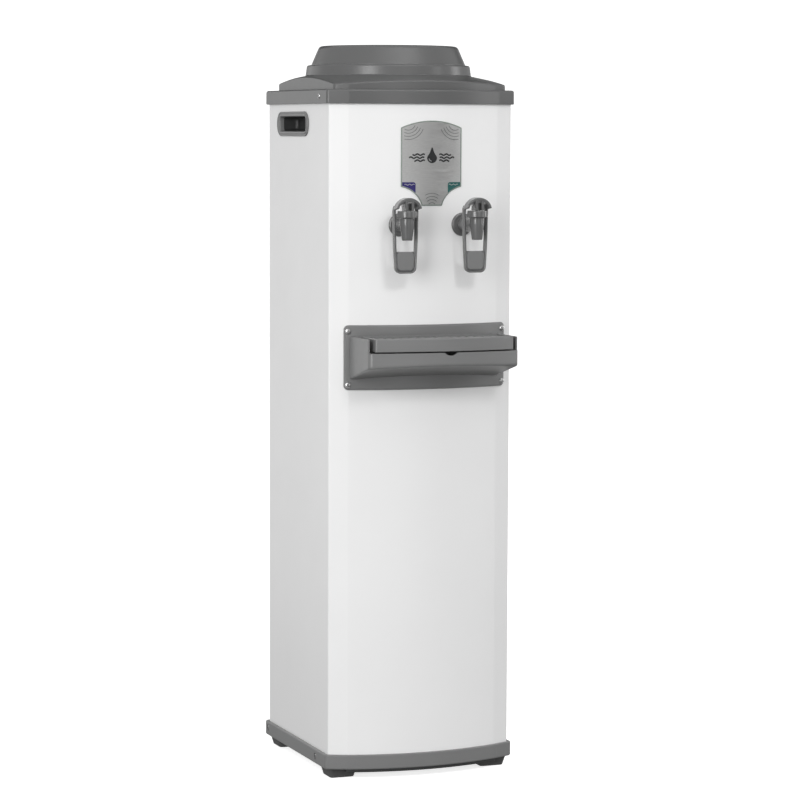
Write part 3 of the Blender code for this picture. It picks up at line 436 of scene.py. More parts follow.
def paint(name, colour, rough, peel=420, strength=0.1, vary=0.03, coat=0.0):
    """Enamel or powder coat: orange peel, faint blotches and slight wear in the gloss."""
    nodes = Nodes(name, colour, rough, coat_weight=coat, coat_roughness=0.12)
    nodes.tint(nodes.noise(7.0, 4.0), (0.3, 0.72), (1 - vary, 1 + vary))
    nodes.gloss(nodes.noise(34.0, 3.0), 0.88, 1.14)
    return nodes.bump(nodes.noise(peel, 2.0), strength, 0.0004)


def plastic(name, colour, rough, grain=1400, strength=0.12, vary=0.05, coat=0.0, handled=0.2):
    """Injection-moulded plastic: fine spark-eroded grain, flow marks and handling marks."""
    nodes = Nodes(name, colour, rough, coat_weight=coat, coat_roughness=0.08)
    nodes.tint(nodes.noise(11.0, 5.0, (1.0, 1.0, 2.2), 0.6), (0.28, 0.74), (1 - vary, 1 + vary))
    nodes.gloss(nodes.noise(85.0, 4.0), 1 - handled, 1 + handled)
    return nodes.bump(nodes.noise(grain, 2.0), strength, 0.0002)


def metal(name, colour, rough, grain, vary=0.1, strength=0.1, stretch=(1, 1, 1), anisotropy=0.0):
    """Metal with drawn or brushed lines along the axis that the stretch shrinks."""
    nodes = Nodes(name, colour, rough, metallic=1.0, anisotropic=anisotropy)
    lines = nodes.noise(grain, 6.0, stretch)
    nodes.tint(lines, (0.3, 0.7), (1 - vary, 1 + vary))
    nodes.gloss(nodes.noise(grain * 0.3, 4.0, stretch), 0.8, 1.25)
    return nodes.bump(lines, strength, 0.00015)


def spangled(name, colour, rough):
    """Zinc-coated sheet with the crystals of its coating."""
    nodes = Nodes(name, colour, rough, metallic=1.0)
    cells = nodes.add("TexVoronoi", nodes.mapped((1.0, 0.05, 1.0)), "Vector", scale=60.0, randomness=1.0)
    nodes.tint(cells.outputs["Color"], (0.1, 0.9), (0.93, 1.05))
    nodes.gloss(nodes.noise(40.0, 4.0), 0.9, 1.15)
    return nodes.bump(nodes.noise(220.0, 3.0), 0.12, 0.0003)


def soft_material(name, colour, rough, grain, strength, vary=0.12, scatter=0.0):
    """Rubber, foam or silicone: matt with a pitted face."""
    nodes = Nodes(name, colour, rough, subsurface_weight=scatter, subsurface_scale=0.004)
    nodes.tint(nodes.noise(grain / 6, 4.0), (0.3, 0.7), (1 - vary, 1 + vary))
    nodes.gloss(nodes.noise(grain / 3, 3.0), 0.85, 1.15)
    return nodes.bump(nodes.noise(grain, 3.0), strength, 0.0005)


WHITE_PAINT = paint("white_powder_coat", (0.81, 0.81, 0.81), 0.34, 420, 0.07, 0.012)
COVER_GREY = plastic("satin_grey_plastic", (0.112, 0.113, 0.113), 0.29, 1500, 0.015, 0.02, 0.0, 0.05)
GLOSS_GREY = plastic("gloss_grey_plastic", (0.116, 0.117, 0.117), 0.22, 900, 0.02, 0.03, 0.5)
TRAY_GREY = plastic("tray_grey_plastic", (0.186, 0.187, 0.187), 0.31, 1700, 0.015, 0.025, 0.0, 0.06)
# painted shade: the grip pockets' insides and the base's set-back front lip are made near-black to stand in
# for the shade in these recesses
PAINTED_SHADE_GREY = plastic("pocket_grey_plastic", (0.030, 0.031, 0.031), 0.45, 1500, 0.12, 0.06)
RUBBER = soft_material("dark_rubber", (0.075, 0.075, 0.075), 0.62, 900, 0.22)
BRUSHED = metal("brushed_badge_steel", (0.6, 0.6, 0.595), 0.35, 2600, 0.09, 0.06, (0.03, 1, 1), 0.45)
RIM_GREEN = plastic("badge_rim_enamel", (0.215, 0.250, 0.225), 0.28, 800, 0.06, 0.05, 0.3)
INDIGO = plastic("indigo_enamel", (0.020, 0.014, 0.120), 0.38, 700, 0.05, 0.08)
TEAL = plastic("teal_enamel", (0.015, 0.098, 0.092), 0.38, 700, 0.05, 0.08)
ETCHED = metal("etched_lines", (0.17, 0.18, 0.18), 0.42, 900, 0.14, 0.16)
INK = plastic("badge_ink", (0.010, 0.011, 0.012), 0.52, 900, 0.05, 0.1)
STEEL = metal("drawn_tank_steel", (0.56, 0.56, 0.57), 0.24, 1500, 0.1, 0.12, (1, 1, 0.03))
ZINC = spangled("zinc_coated_steel", (0.56, 0.57, 0.58), 0.36)
SCREW_STEEL = metal("screw_steel", (0.5, 0.5, 0.5), 0.26, 700)
BLACK_PAINT = paint("black_enamel", (0.018, 0.018, 0.019), 0.26, 300, 0.12, 0.2, 0.3)
COPPER = metal("copper_tube", (0.72, 0.36, 0.22), 0.3, 420, 0.16)
WHITE_PLASTIC = plastic("white_plastic", (0.74, 0.74, 0.72), 0.36, 1300, 0.08, 0.03)
FOAM = soft_material("insulation_foam", (0.7, 0.66, 0.56), 0.92, 520, 0.55, 0.08, 0.2)
SILICONE = soft_material("silicone", (0.62, 0.63, 0.62), 0.4, 700, 0.1, 0.05, 0.25)
CARD_BLACK = paint("card_black", (0.004, 0.004, 0.004), 0.9)
FINISHES = {  # looks of each CAD slot; the first is for CAD nodes that stay in view
    "white_paint": [WHITE_PAINT], "dark_rubber": [RUBBER],
    "grey_plastic": [TRAY_GREY, COVER_GREY, GLOSS_GREY, PAINTED_SHADE_GREY, RIM_GREEN, INK],
    "brushed_steel": [STEEL, BRUSHED, INDIGO, TEAL, ETCHED],
    "zinc_steel": [ZINC, SCREW_STEEL],
    "black_paint": [BLACK_PAINT], "copper": [COPPER], "white_plastic": [WHITE_PLASTIC],
    "foam": [FOAM], "silicone": [SILICONE],
}


# ---- casing
GRIP_CENTRE = (20.5, 890.5)  # y and z on the side panel
GRIP_SIZE = (132, 34)
GRIP_OPENING = (110, 20)
RETURN_FLANGE = 15


def wrap(half, back, grow):
    """Path of the folded sheet from one rear flange to the other."""
    flange = HALF_WIDTH - RETURN_FLANGE
    return [(-flange, back), (-half, back)] + front_path(half, grow, 64) + [(half, back), (flange, back)]


def cabinet_skin():
    """The folded sheet round the cabinet with its rear flanges and the holes for the grips."""
    outer = wrap(HALF_WIDTH, HALF_DEPTH, 0.0)
    inner = wrap(HALF_WIDTH - SHEET, HALF_DEPTH - SHEET, -SHEET)
    loop = soften(outer, 3, 5) + soften(inner, 2, 5)[::-1]
    skin = shifted(plate([loop], SHELL_HIGH.z - SHELL_LOW.z), 0, 0, SHELL_LOW.z)
    for side in (-1, 1):
        skin = carve(skin, loft([grip_loop(GRIP_OPENING, 6, 8, out, side) for out in (-12, 12)]))
    piece("cabinet_skin", skin, WHITE_PAINT, "cabinet_shell")


def grip_loop(size, grow, radius, out, side):
    """A rounded rectangle on the side panel, its size grown, so far out from the panel's face."""
    flat = rounded_rectangle(GRIP_CENTRE, (size[0] + grow, size[1] + grow), radius, 8)
    return [(side * (HALF_WIDTH + out), y, z) for y, z in flat]


def grip(name, side):
    """Handle frame, whose rim rolls over into the opening, and the pocket behind it."""
    face, hole = GRIP_SIZE, GRIP_OPENING
    rows = [
        (hole, 4.5, 7, -5), (hole, 4.5, 7, 0.3), (face, 0, 16.2, 0.3), (face, 0, 16.2, 0.9),
        (face, -0.4, 16, 1.4), (face, -1.4, 15.5, 1.8), (face, -3, 14.7, 1.8), (face, -4.4, 14, 1),
        (hole, 7.6, 9, 0.8), (hole, 5.8, 8, 1.7), (hole, 3, 6.6, 1.7), (hole, 0.8, 5.5, 0.9),
        (hole, 0, 5, -1), (hole, -0.8, 4.6, -5),
    ]
    body = loft([grip_loop(*row, side) for row in rows], ring=True)
    stand_in(name, "frame", body, TRAY_GREY, sharp=50)
    rows = [(hole, -0.8, 4.6, -5), ((107, 18.4), 0, 4.5, -20), ((104, 16), 0, 4, -24),
            ((99, 12), 0, 3.4, -25.6)]
    inside = loft([grip_loop(*row, side) for row in rows], caps=(False, True))
    bmesh.ops.reverse_faces(inside, faces=inside.faces)
    # the pocket's inside is near-black: painted shade in the recess behind the grip's opening
    piece(name + "_pocket", inside, PAINTED_SHADE_GREY, sharp=50)


def base_screw_spots():
    return [(side, y, z) for side in (-1, 1) for y, z in ((118, 25), (-86.3, 24))]


def base():
    """Open tray under the cabinet with a rounded rim and a set-back lip below its front."""
    rows = [(3.8, BASE_LOW.z + 4.5), (4.7, 15), (5, 16), (5, 32.5), (4.7, 33.4), (3.8, 34), (1.4, 34),
            (0.6, 33.6), (0.4, 32.8), (0.4, 17)]
    body = loft([level(plan(grow, 6), z) for grow, z in rows])
    for side, y, z in base_screw_spots():
        seat = revolve([(0, 4), (5.2, 4), (4.7, 0), (4.4, -2.4), (0, -2.4)], 40)
        body = carve(body, moved(seat, outward(side * (HALF_WIDTH + 5), y, z, side * pi / 2)))
    lip = plate([front_path(110, 2) + front_path(110, -4)[::-1]], 5.5, 0.6)
    stand_in("base_tray", "rim", body, TRAY_GREY)
    # the set-back lip is near-black: painted shade under the base's rim
    piece("base_front_lip", shifted(lip, 0, 0, BASE_LOW.z), PAINTED_SHADE_GREY)


def foot(name):
    """Rubber pad that widens upwards."""
    low, high = box_of(name)
    middle = (low + high) / 2 - CENTRE
    rows = [(16, 0), (17, 0.5), (17.5, 2), (20, 11.5), (20.4, high.z - 0.8), (19.8, high.z)]
    loops = [level(rounded_rectangle(middle.xy, (2 * half, 2 * half - 2), 3.4), z) for half, z in rows]
    stand_in(name, "pad", loft(loops), RUBBER, sharp=50)


def ray(loop, angle):
    """Distance from the origin to a closed plan outline, in one direction."""
    direction = Vector((cos(angle), sin(angle)))
    far = 0.0
    for one, other in zip(loop, loop[1:] + loop[:1]):
        start, side = Vector(one), Vector(other) - Vector(one)
        slant = direction.cross(side)
        if abs(slant) < 1e-9:
            continue
        part = start.cross(direction) / slant
        if -1e-6 <= part <= 1 + 1e-6:
            far = max(far, start.cross(side) / slant)
    return far


def cover():
    """Skirt and ledge, and on it the cone-shaped shoulder with the ring that seats the bottle."""
    low = COVER_LOW.z
    rows = [(1, low + 0.6), (3, low), (3.7, low + 0.3), (4, low + 1.2), (3.9, 934), (3.4, 935.8),
            (2.4, 936.7), (1, LEDGE_Z), (-16, LEDGE_Z), (-16, 934), (1, 934)]
    skirt = loft([level(plan(grow, 4.5), z) for grow, z in rows], ring=True)
    front = front_path(SHOULDER_X, -SHOULDER_FRONT)
    outline = [(-SHOULDER_X, SHOULDER_BACK)] + front + [(SHOULDER_X, SHOULDER_BACK)]
    outline = soften(outline, 6, 6, closed=True)
    angles = {atan2(y, x) for x, y in outline}
    angles |= {radians(2 * step - 180) for step in range(180)}
    thinned = []
    for angle in sorted(angles):
        if not thinned or angle - thinned[-1] > 0.004:
            thinned.append(angle)
    columns = []
    for angle in thinned:
        edge = max(ray(outline, angle), RING_LOW_R + 0.4)
        columns.append([(*polar(r, angle), z) for r, z in shoulder_profile(edge)])
    shoulder = loft(list(zip(*columns)), ring=True)
    piece("cover_moulding", merged(skirt, shoulder), COVER_GREY, "top_cover", sharp=42)


def shoulder_profile(edge):
    """Radius and height up the shoulder's wall, over the cone and the ring to the seat, and back below."""
    def cone(out):
        radius = edge - out
        return radius, RING_LOW_Z - SHOULDER_SLOPE * (radius - RING_LOW_R)

    room = min(1.0, (edge - RING_LOW_R) / 6)
    top = cone(0.0)[1]
    bend_r, bend_z = cone(1.2 * room)
    wall = [(edge, LEDGE_Z - 1), (edge, top - 2.2 * room - 0.1), (edge - 0.3 * room, top - room),
            (bend_r, bend_z - 0.2 * room), cone(3 * room), cone(edge - RING_LOW_R - 1.2 * room),
            (RING_LOW_R + 0.3, RING_LOW_Z + 0.3), (RING_LOW_R, RING_LOW_Z + 1.2)]
    rim = [(113.5, -2.6), (113, -1.2), (112.2, -0.3), (111.1, 0), (109.7, 0), (108.8, -0.3), (108.5, -1.2)]
    seat = [(108.5, 965.5), (90, 965.5), (88.4, 965.1), (88, 964.1), (88.4, 963), (104.5, 963),
            (104.5, 936)]
    return wall + [(radius, COVER_HIGH.z + z) for radius, z in rim] + seat


def collar():
    """Truncated cone that lies in the cover's ring."""
    low, high, lip = COLLAR_LOW.z, COLLAR_HIGH.z, COVER_HIGH.z
    top = [(88.5, -0.8), (88.9, -0.2), (89.7, 0), (92.3, 0), (93.9, -0.3), (95.3, -1), (96.5, -2.1),
           (97.4, -3.5), (98, -4.8)]
    foot = [(106.5, lip + 2), (107.1, lip + 0.8), (107.3, lip - 0.4), (107.3, low + 0.4), (106.9, low),
            (104.7, low), (104.3, low + 0.4), (104.3, lip)]
    inside = [(93.3, -4.5), (89.3, -3.6), (88.5, -2.8)]
    top, inside = ([(radius, high + z) for radius, z in part] for part in (top, inside))
    piece("collar_cone", revolve(top + foot + inside, 144), COVER_GREY, "bottle_collar", "collar")


# ---- screws
def screw_form(radius, height):
    """Pan head with a cross recess, standing on z = 0."""
    dome = ((0.45, 0.97), (0.78, 0.78), (0.95, 0.42), (1.0, 0.16))
    profile = [(0, height)] + [(radius * out, height * up) for out, up in dome]
    head = revolve(profile + [(radius * 0.96, 0.2), (0, 0.2)], 36)
    long, narrow, floor_z = radius * 0.62, radius * 0.13, height * 0.38
    for x, y in ((narrow, long), (long, narrow)):
        head = carve(head, block((-x, -y, floor_z), (x, y, height + 1)))
    return head


def outward(x, y, z, angle):
    """Frame on a wall at a point: local Z points out of the surface, turned from -Y by the angle."""
    return Matrix.Translation((x, y, z)) @ Matrix.Rotation(angle, 4, "Z") @ Matrix.Rotation(pi / 2, 4, "X")


def screw(name, at, angle, turn, node="", radius=4, height=2.1):
    form = moved(screw_form(radius, height), outward(*at, angle) @ Matrix.Rotation(turn, 4, "Z"))
    piece(name, form, SCREW_STEEL, node, sharp=30)


# ---- badge
FITTING_SHIFT = 4.8
BADGE_HALF = 44
BADGE_APEX = 895.5
BADGE_SHOULDER = 886
BADGE_HIP = 806.5
BADGE_FOOT = 781
BADGE_FOOT_HALF = 14.8
HOLLOW = 0.72  # 1 would be a true quarter arc, 0 a straight line
EMBLEM_Z = 845.5
INLAY = 0.86  # printed and enamelled parts start so far out from the sheet


def badge_loop(inset=0.0):
    """Crown on top, straight sides and hollow sides down to a narrow foot."""
    half = BADGE_HALF - inset
    crown = [(x, crown_z(x, inset)) for x in (half * (1 - step / 12) for step in range(25))]
    hollow = [hollow_point(step / 18, inset) for step in range(18, -1, -1)]
    right = list(dict.fromkeys((min(x, half), max(z, BADGE_FOOT + inset)) for x, z in hollow))
    left = [(-x, z) for x, z in right[::-1]]
    return [(x + FITTING_SHIFT, z) for x, z in crown + left + right]


def hollow_point(part, inset):
    """A point of the badge's hollow side, from its hip (0) to its foot (1)."""
    reach, rise = BADGE_HALF - BADGE_FOOT_HALF + inset, BADGE_HIP - BADGE_FOOT + inset
    angle = pi / 2 * part
    across = reach * (HOLLOW * sin(angle) + (1 - HOLLOW) * part)
    up = rise * (HOLLOW * cos(angle) + (1 - HOLLOW) * (1 - part))
    return BADGE_HALF - across, BADGE_FOOT + up


def on_front(bm, stand):
    """Stand a plate up and wrap it on the front, its base that far out from the sheet."""
    return shifted(bend_to_front(upright(bm), 56, 22), 0, -stand, 0)


def stroke(points, width):
    """Closed outline of a line of that width with round ends."""
    left, right = [], []
    for i, (x, z) in enumerate(points):
        ahead = Vector(points[min(i + 1, len(points) - 1)]) - Vector(points[max(i - 1, 0)])
        side = Vector((-ahead.y, ahead.x)).normalized() * width / 2
        left.append((x + side.x, z + side.y))
        right.append((x - side.x, z - side.y))
    return left + right[::-1]


def tag_loop(side):
    """Corner tag at a hip of the badge: square on top, cut along the hollow arc below."""
    inset, wide, top = 1.7, 20.5, BADGE_HIP + 6.3
    near = BADGE_HALF - wide
    arc = [hollow_point(step / 60, inset) for step in range(61)]
    arc = [(min(x, BADGE_HALF - inset), z) for x, z in arc if x > near + 0.3]
    arc.append((near, arc[-1][1] - 0.3))
    corner = soften([(near, arc[-1][1]), (near, top), (BADGE_HALF - inset, top)], 3, 5)
    loop = list(dict.fromkeys(arc + corner[1:]))
    return [(FITTING_SHIFT + side * x, z) for x, z in loop]


def wave(start, length, swing, turns, width):
    """Outline of a wavy stroke running sideways from a point."""
    parts = [step / 26 for step in range(27)]
    line = [(start[0] + length * part, start[1] + swing * sin(2 * pi * turns * part)) for part in parts]
    return stroke(line, width)


def badge():
    """Brushed plate, enamelled border, two tags, an emblem of a drop in waves, and ripples."""
    face = plate([badge_loop(0.7)], 0.55, 0.1, 1)
    piece("badge_face", on_front(face, GAP), BRUSHED, "badge_plate")
    rim = plate([badge_loop(), badge_loop(1.6)], 0.7, 0.15, 1)
    piece("badge_border", on_front(rim, GAP), RIM_GREEN)
    for side, hand, enamel, start in ((-1, "left", INDIGO, -39), (1, "right", TEAL, 25)):
        piece(f"badge_tag_{hand}", on_front(plate([tag_loop(side)], 0.18, 0.04, 1), INLAY), enamel)
        line = plate([wave((FITTING_SHIFT + start, BADGE_HIP + 3), 14, 0.7, 2.5, 0.7)], 0.08)
        piece(f"badge_tag_wave_{hand}", on_front(line, INLAY + 0.15), BRUSHED)
    piece("badge_emblem", on_front(merged(*emblem()), INLAY), INK)
    piece("badge_ripples", on_front(merged(*ripples()), INLAY), ETCHED)


def emblem():
    """A drop with a shine in it and three waves on each side."""
    middle, heart, size = FITTING_SHIFT, EMBLEM_Z, 7.2
    drop = []
    for step in range(56):
        angle = 2 * pi * step / 56
        up = max(0.0, sin(angle))
        x, z = polar(size, angle)
        drop.append((middle + x * (1 - 0.42 * up ** 1.5), heart + z * (1 + 0.95 * up ** 5)))
    ink = [plate([drop, stroke(arc_points((middle, heart), 4.6, 1.06, 1.44, 12), 1.1)], 0.1)]
    for side in (-1, 1):
        for start, length, up in ((10.5, 17.5, 4.2), (11.2, 21.5, 0.2), (10.5, 15, -3.8)):
            line = wave((start, heart + up), length, 0.9, length / 8.5, 2.1)
            ink.append(plate([[(middle + side * x, z) for x, z in line]], 0.1))
    return ink


def ripples():
    """Arcs that spread from the badge's upper corners and from its foot."""
    middle, lines = FITTING_SHIFT, []
    for side in (-1, 1):
        for number in range(4):
            arc = arc_points((middle + side * 34, 892.5), 10 + 4.2 * number, 1.12, 1.88, 30)
            lines.append([(x, z) for x, z in arc if abs(x - middle) < BADGE_HALF - 3.8
                          and z < crown_z(x - middle) - 3.5])
    for number in range(4):
        spread = 0.26 - 0.03 * number
        lines.append(arc_points((middle, 779), 6.2 + 4.2 * number, 0.5 - spread, 0.5 + spread, 24))
    return [plate([stroke(line, 0.7)], 0.12) for line in lines if len(line) > 3]


def crown_z(x, inset=0.0):
    """Top edge of the badge at a distance from its middle."""
    rise = BADGE_APEX - BADGE_SHOULDER
    radius = BADGE_HALF ** 2 / (2 * rise) + rise / 2
    return BADGE_APEX - radius + sqrt((radius - inset) ** 2 - x * x)


# ---- taps
def cut_at(path, limit, sign):
    """The part of a path above a height (sign 1) or below it (sign -1)."""
    cut = []
    for (x0, z0), (x1, z1) in zip(path, path[1:] + path[-1:]):
        kept, next_kept = ((z - limit) * sign >= 0 for z in (z0, z1))
        if kept:
            cut.append((x0, z0))
        if kept != next_kept:
            cut.append((x0 + (x1 - x0) * (limit - z0) / (z1 - z0), limit))
    return cut


def flipped(path):
    """The mirror image of a path, run through backwards."""
    return [(-x, z) for x, z in path[::-1] if x > 1e-6]


def lever_outer(inset=0.0):
    """Right half of the frame's outline: an arch on top, a leg that draws in, and a rounded foot."""
    arch = [((18 - inset) * sin(a), 18 + (19.3 - inset) * cos(a)) for a in (pi * i / 28 for i in range(15))]
    leg = [(17.8 - inset, 10), (17.5 - inset, -10), (16.8 - inset, -30)]
    heel = arc_points((7.3, LEVER_LOW + 8), 8 - inset, 0, -0.5, 7)
    return arch + leg + heel


def lever_inner():
    """Right half of the frame's opening, from its arch down to the pad."""
    arch = [(14.5 * sin(a), 18.8 + 13 * cos(a)) for a in (pi * i / 24 for i in range(13))]
    return arch + [(14.3, 8)] + soften([(13.8, -10), (13, PAD_TOP), (0.0, PAD_TOP)], 0.7, 3)[:-1]


def lever_plate(loop, front, back, edge):
    """A piece of the lever between two depths (front is nearer the user, smaller y)."""
    return shifted(upright(plate([loop], back - front, edge, 3)), 0, back, 0)


def tap(hand):
    """Wall flange, body with shank and spout, bonnet, spring and lever; the stem and its seal stay CAD."""
    x = FITTING_SHIFT + (-45 if hand == "left" else 45)
    lean, reach = asin(x / FRONT_R), 41
    wall = outward(x, front_y(x), TAP_Z, lean)
    head = Matrix.Translation((x + reach * sin(lean), front_y(x) - reach * cos(lean), TAP_Z))
    flange = revolve([
        (8.3, 5.2), (9.6, 5.2), (10.2, 4.8), (10.4, 4.1), (11, 3.8), (12.8, 3.7), (14.6, 3.1), (15.5, 2.1),
        (15.8, 1), (15.7, 0.3), (8.3, 0.3)], 72)
    stand_in(f"tap_flange_{hand}", "ring", moved(flange, wall), GLOSS_GREY)
    shank = revolve([
        (0, 40), (9.3, 40), (9.4, 7.2), (9.1, 6), (8.3, 5.3), (8, 5), (8, -33), (4.5, -33.2), (4.5, -45),
        (0, -45)], 64)
    barrel = revolve([
        (0, 11.2), (11.8, 11.2), (11.8, 10.8), (11.2, 10.4), (10.1, 9.4), (9.9, 6), (9.6, 0), (7.3, -17.8),
        (7.1, -19), (6.7, -19.5), (4.9, -19.5), (4.3, -18.8), (4.2, -17.5), (4.2, -3), (0, -3)], 64)
    body = carve(moved(shank, wall), moved(barrel, head), "UNION")
    piece(f"tap_barrel_{hand}", body, GLOSS_GREY, f"tap_body_{hand}")
    bonnet = revolve([
        (2.7, 19.6), (2.9, BONNET_TOP), (11.8, BONNET_TOP), (12.7, 19.6), (13.2, 18.9), (13.4, 18),
        (13.4, 11.9), (13.2, 11.1), (12.7, 10.8), (12.1, 10.8), (12.1, 16.8), (2.7, 16.8)], 72)
    stand_in(f"tap_bonnet_{hand}", "cap", moved(bonnet, head), GLOSS_GREY)
    spring(hand, head)
    lever(hand, head)


def spring(hand, head):
    """Return spring: a wire coil from its foot up under the bonnet; it stays where it is built and rides on
    no body.
    """
    radius, turns, to_a_turn = 4.4, 5, 28
    points = []
    for step in range(turns * to_a_turn + 1):
        height = SPRING_LOW + (SPRING_TOP - SPRING_LOW) * step / (turns * to_a_turn)
        points.append((*polar(radius, 2 * pi * step / to_a_turn), height))
    wire = moved(tube(points, 0.5), head)
    coil = stand_in(f"tap_spring_{hand}", "wire", wire, SCREW_STEEL, body="")
    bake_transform(coil)


def lever(hand, head):
    """Push frame: a web with a bead round it, a hood with two ribs on top and a pad in a groove below."""
    body = f"lever_{hand}"
    front, back = LEVER_BACK - 3.75, LEVER_BACK + 3.75
    outer, inner = (cut_at(loop, 26.2, -1) for loop in (lever_outer(0.4), lever_inner()))
    legs = outer + flipped(outer) + flipped(inner)[::-1] + inner[::-1]
    web = lever_plate(legs, front + 3, back, 0.7)
    rim = [p for p in lever_outer(1.4) if p[1] < 24]
    bead = tube([(x, front + 2, z) for x, z in rim + flipped(rim)], 1.4, 12)
    inside = [(15.1, 22), (15, 10), (14.6, -10), (13.9, -30), (13.4, PAD_TOP - 1)]
    cup = soften([(-12.6, PAD_TOP), (-11.4, -59.7), (11.4, -59.7), (12.6, PAD_TOP)], 4.6, 6)
    lips = [tube([(x, front + 2.4, z) for x, z in line], 0.9)
            for line in (inside, [(-x, z) for x, z in inside], cup)]
    ribs = [block((x - 1.6, -10.5, BONNET_TOP + 0.3), (x + 1.6, 6, 33), 0.6) for x in (-4.4, 4.4)]
    form = moved(merged(web, bead, *lips, hood(), *ribs), head)
    stand_in(f"tap_lever_{hand}", "frame", form, GLOSS_GREY, body=body)
    pad = soften([(-11.7, PAD_TOP), (11.7, PAD_TOP), (10.7, -59), (-10.7, -59)], 4.2, 6, closed=True)
    pad = moved(lever_plate(pad, front + 1.7, front + 4, 0.6), head)
    piece(f"tap_lever_{hand}_pad", pad, TRAY_GREY, body=body)
    pin = revolve([(0, 6.6), (0.9, 6.6), (1.2, 6.3), (1.2, -6.3), (0.9, -6.6), (0, -6.6)], 28)
    across = head @ Matrix.Translation((0, 0, 26.8)) @ Matrix.Rotation(pi / 2, 4, "Y")
    stand_in(f"lever_pin_{hand}", "rod", moved(pin, across), SCREW_STEEL, body=body)


def hood():
    """The arch over the bonnet, its lower edge lifted towards the front."""
    outer, inner = (cut_at(loop, HOOD_LOW, 1) for loop in (lever_outer(), lever_inner()))
    arch = outer[::-1] + flipped(outer)[::-1] + flipped(inner) + inner
    form = lever_plate(soften(arch, 1.2, 3, closed=True), -9.5, HOOD_NOSE, 1.3)
    for vert in form.verts:
        nose = max(0.0, min(1.0, (HOOD_NOSE - vert.co.y) / (HOOD_NOSE + 9.5)))
        vert.co.z += 2.8 * nose ** 2 * max(0.0, 1.0 - (vert.co.z - HOOD_LOW) / 15)
    return form


# ---- drip tray
PLATE_SHIFT = 3
PLATE_HALF = 117.2
PLATE_Z = 576.9
PLATE_HEIGHT = 87.8
BOX_HALF = 107.4
BOX_CORNER_Y = -216.9
FRONT_REACH = -(HOUSING_LOW.y - SETBACK)
BOX_SPLIT = 587.5
BOX_TOP = 606
TRAY_HALF = 101
UNDER_WALL = 551  # the box's underside slopes from here to its front
UNDER_FRONT = 566.5
CHEEK_END = -211.5  # the tray stands in front of the cheeks from here
LIP_HALF = 99.1


def box_plan(half, inset=0.0, back=-119, radius=8):
    """Plan of the tray box: straight sides, rounded front corners and a bowed front."""
    rise = FRONT_REACH + BOX_CORNER_Y
    bow = BOX_HALF ** 2 / (2 * rise) + rise / 2
    side, size = half - inset, max(0.8, radius - inset)
    front = [(x, bow - FRONT_REACH - sqrt((bow - inset) ** 2 - x * x)) for x in spread(side, 36)]
    near = [p for p in front if abs(p[0]) < side * (1.0 - 1.1 * radius / half)]
    corners = [(-side, back, 0.0), (*front[0], size), *near, (*front[-1], size), (side, back, 0.0)]
    return soften(corners, 0.0, 8, closed=True)


def under(y):
    """Height of the box's sloping underside."""
    wall = front_y(0.0)
    return UNDER_WALL + (UNDER_FRONT - UNDER_WALL) * (wall - y) / (wall - BOX_CORNER_Y)


def housing():
    """Tray box, rounded below, its front cut down for the tray, with a finger notch; and its wall plate."""
    rows = [(3.4, 0), (2, 0.2), (1, 0.7), (0.3, 1.7), (0, 2.8), (0, 4.2)]
    loops = [[(x, y, under(y) + lift) for x, y in box_plan(BOX_HALF, inset)] for inset, lift in rows]
    rows = [(0, 1), (0.3, 0.3), (1, 0)]
    loops += [level(box_plan(BOX_HALF, inset), BOX_TOP - drop) for inset, drop in rows]
    basin = loft([level(box_plan(TRAY_HALF, 4), z) for z in (UNDER_FRONT + 4, BOX_TOP + 10)])
    box = carve(loft(loops), basin)
    for half, back in ((TRAY_HALF + 3.8, -162.5), (200, CHEEK_END)):
        box = carve(box, block((-half, -300, BOX_SPLIT), (half, back, BOX_TOP + 10)))
    notch = revolve([(0, 300), (13, 300), (13, 212), (0, 212)], 64)
    across = Matrix.Translation((FITTING_SHIFT, 0, BOX_SPLIT + 9)) @ Matrix.Rotation(pi / 2, 4, "X")
    box = carve(box, moved(notch, across))
    box = carve(box, loft([level(plan(3.6, 1, 4), z) for z in (500, 700)]))
    soft_edges(piece("tray_housing_box", box, TRAY_GREY, "drip_tray_housing", sharp=30), 1.3)
    wall = merged(wall_layer(0, 6, 2.7, 0.9, 3), shifted(wall_layer(1.7, 4.6, 1.5, 0.6, 2), 0, 0, 2.2))
    wall = bend_to_front(upright(wall), 121, 46)
    piece("tray_housing_plate", shifted(wall, 0, -GAP, 0), TRAY_GREY)


def wall_layer(inset, radius, thickness, edge, edge_steps):
    """One of the two layers of the plate behind the tray box."""
    size = (2 * (PLATE_HALF - inset), PLATE_HEIGHT - 2 * inset)
    outline = rounded_rectangle((PLATE_SHIFT, PLATE_Z), size, radius, 8)
    return plate([outline], thickness, edge, edge_steps)


def soft_edges(obj, width):
    """Round the edges that the cuts left, before the normals are weighed."""
    bevel = obj.modifiers.new("edges", "BEVEL")
    bevel.width = width * MM
    bevel.segments = 2
    bevel.limit_method = "ANGLE"
    bevel.angle_limit = radians(35)
    obj.modifiers.move(len(obj.modifiers) - 1, 0)


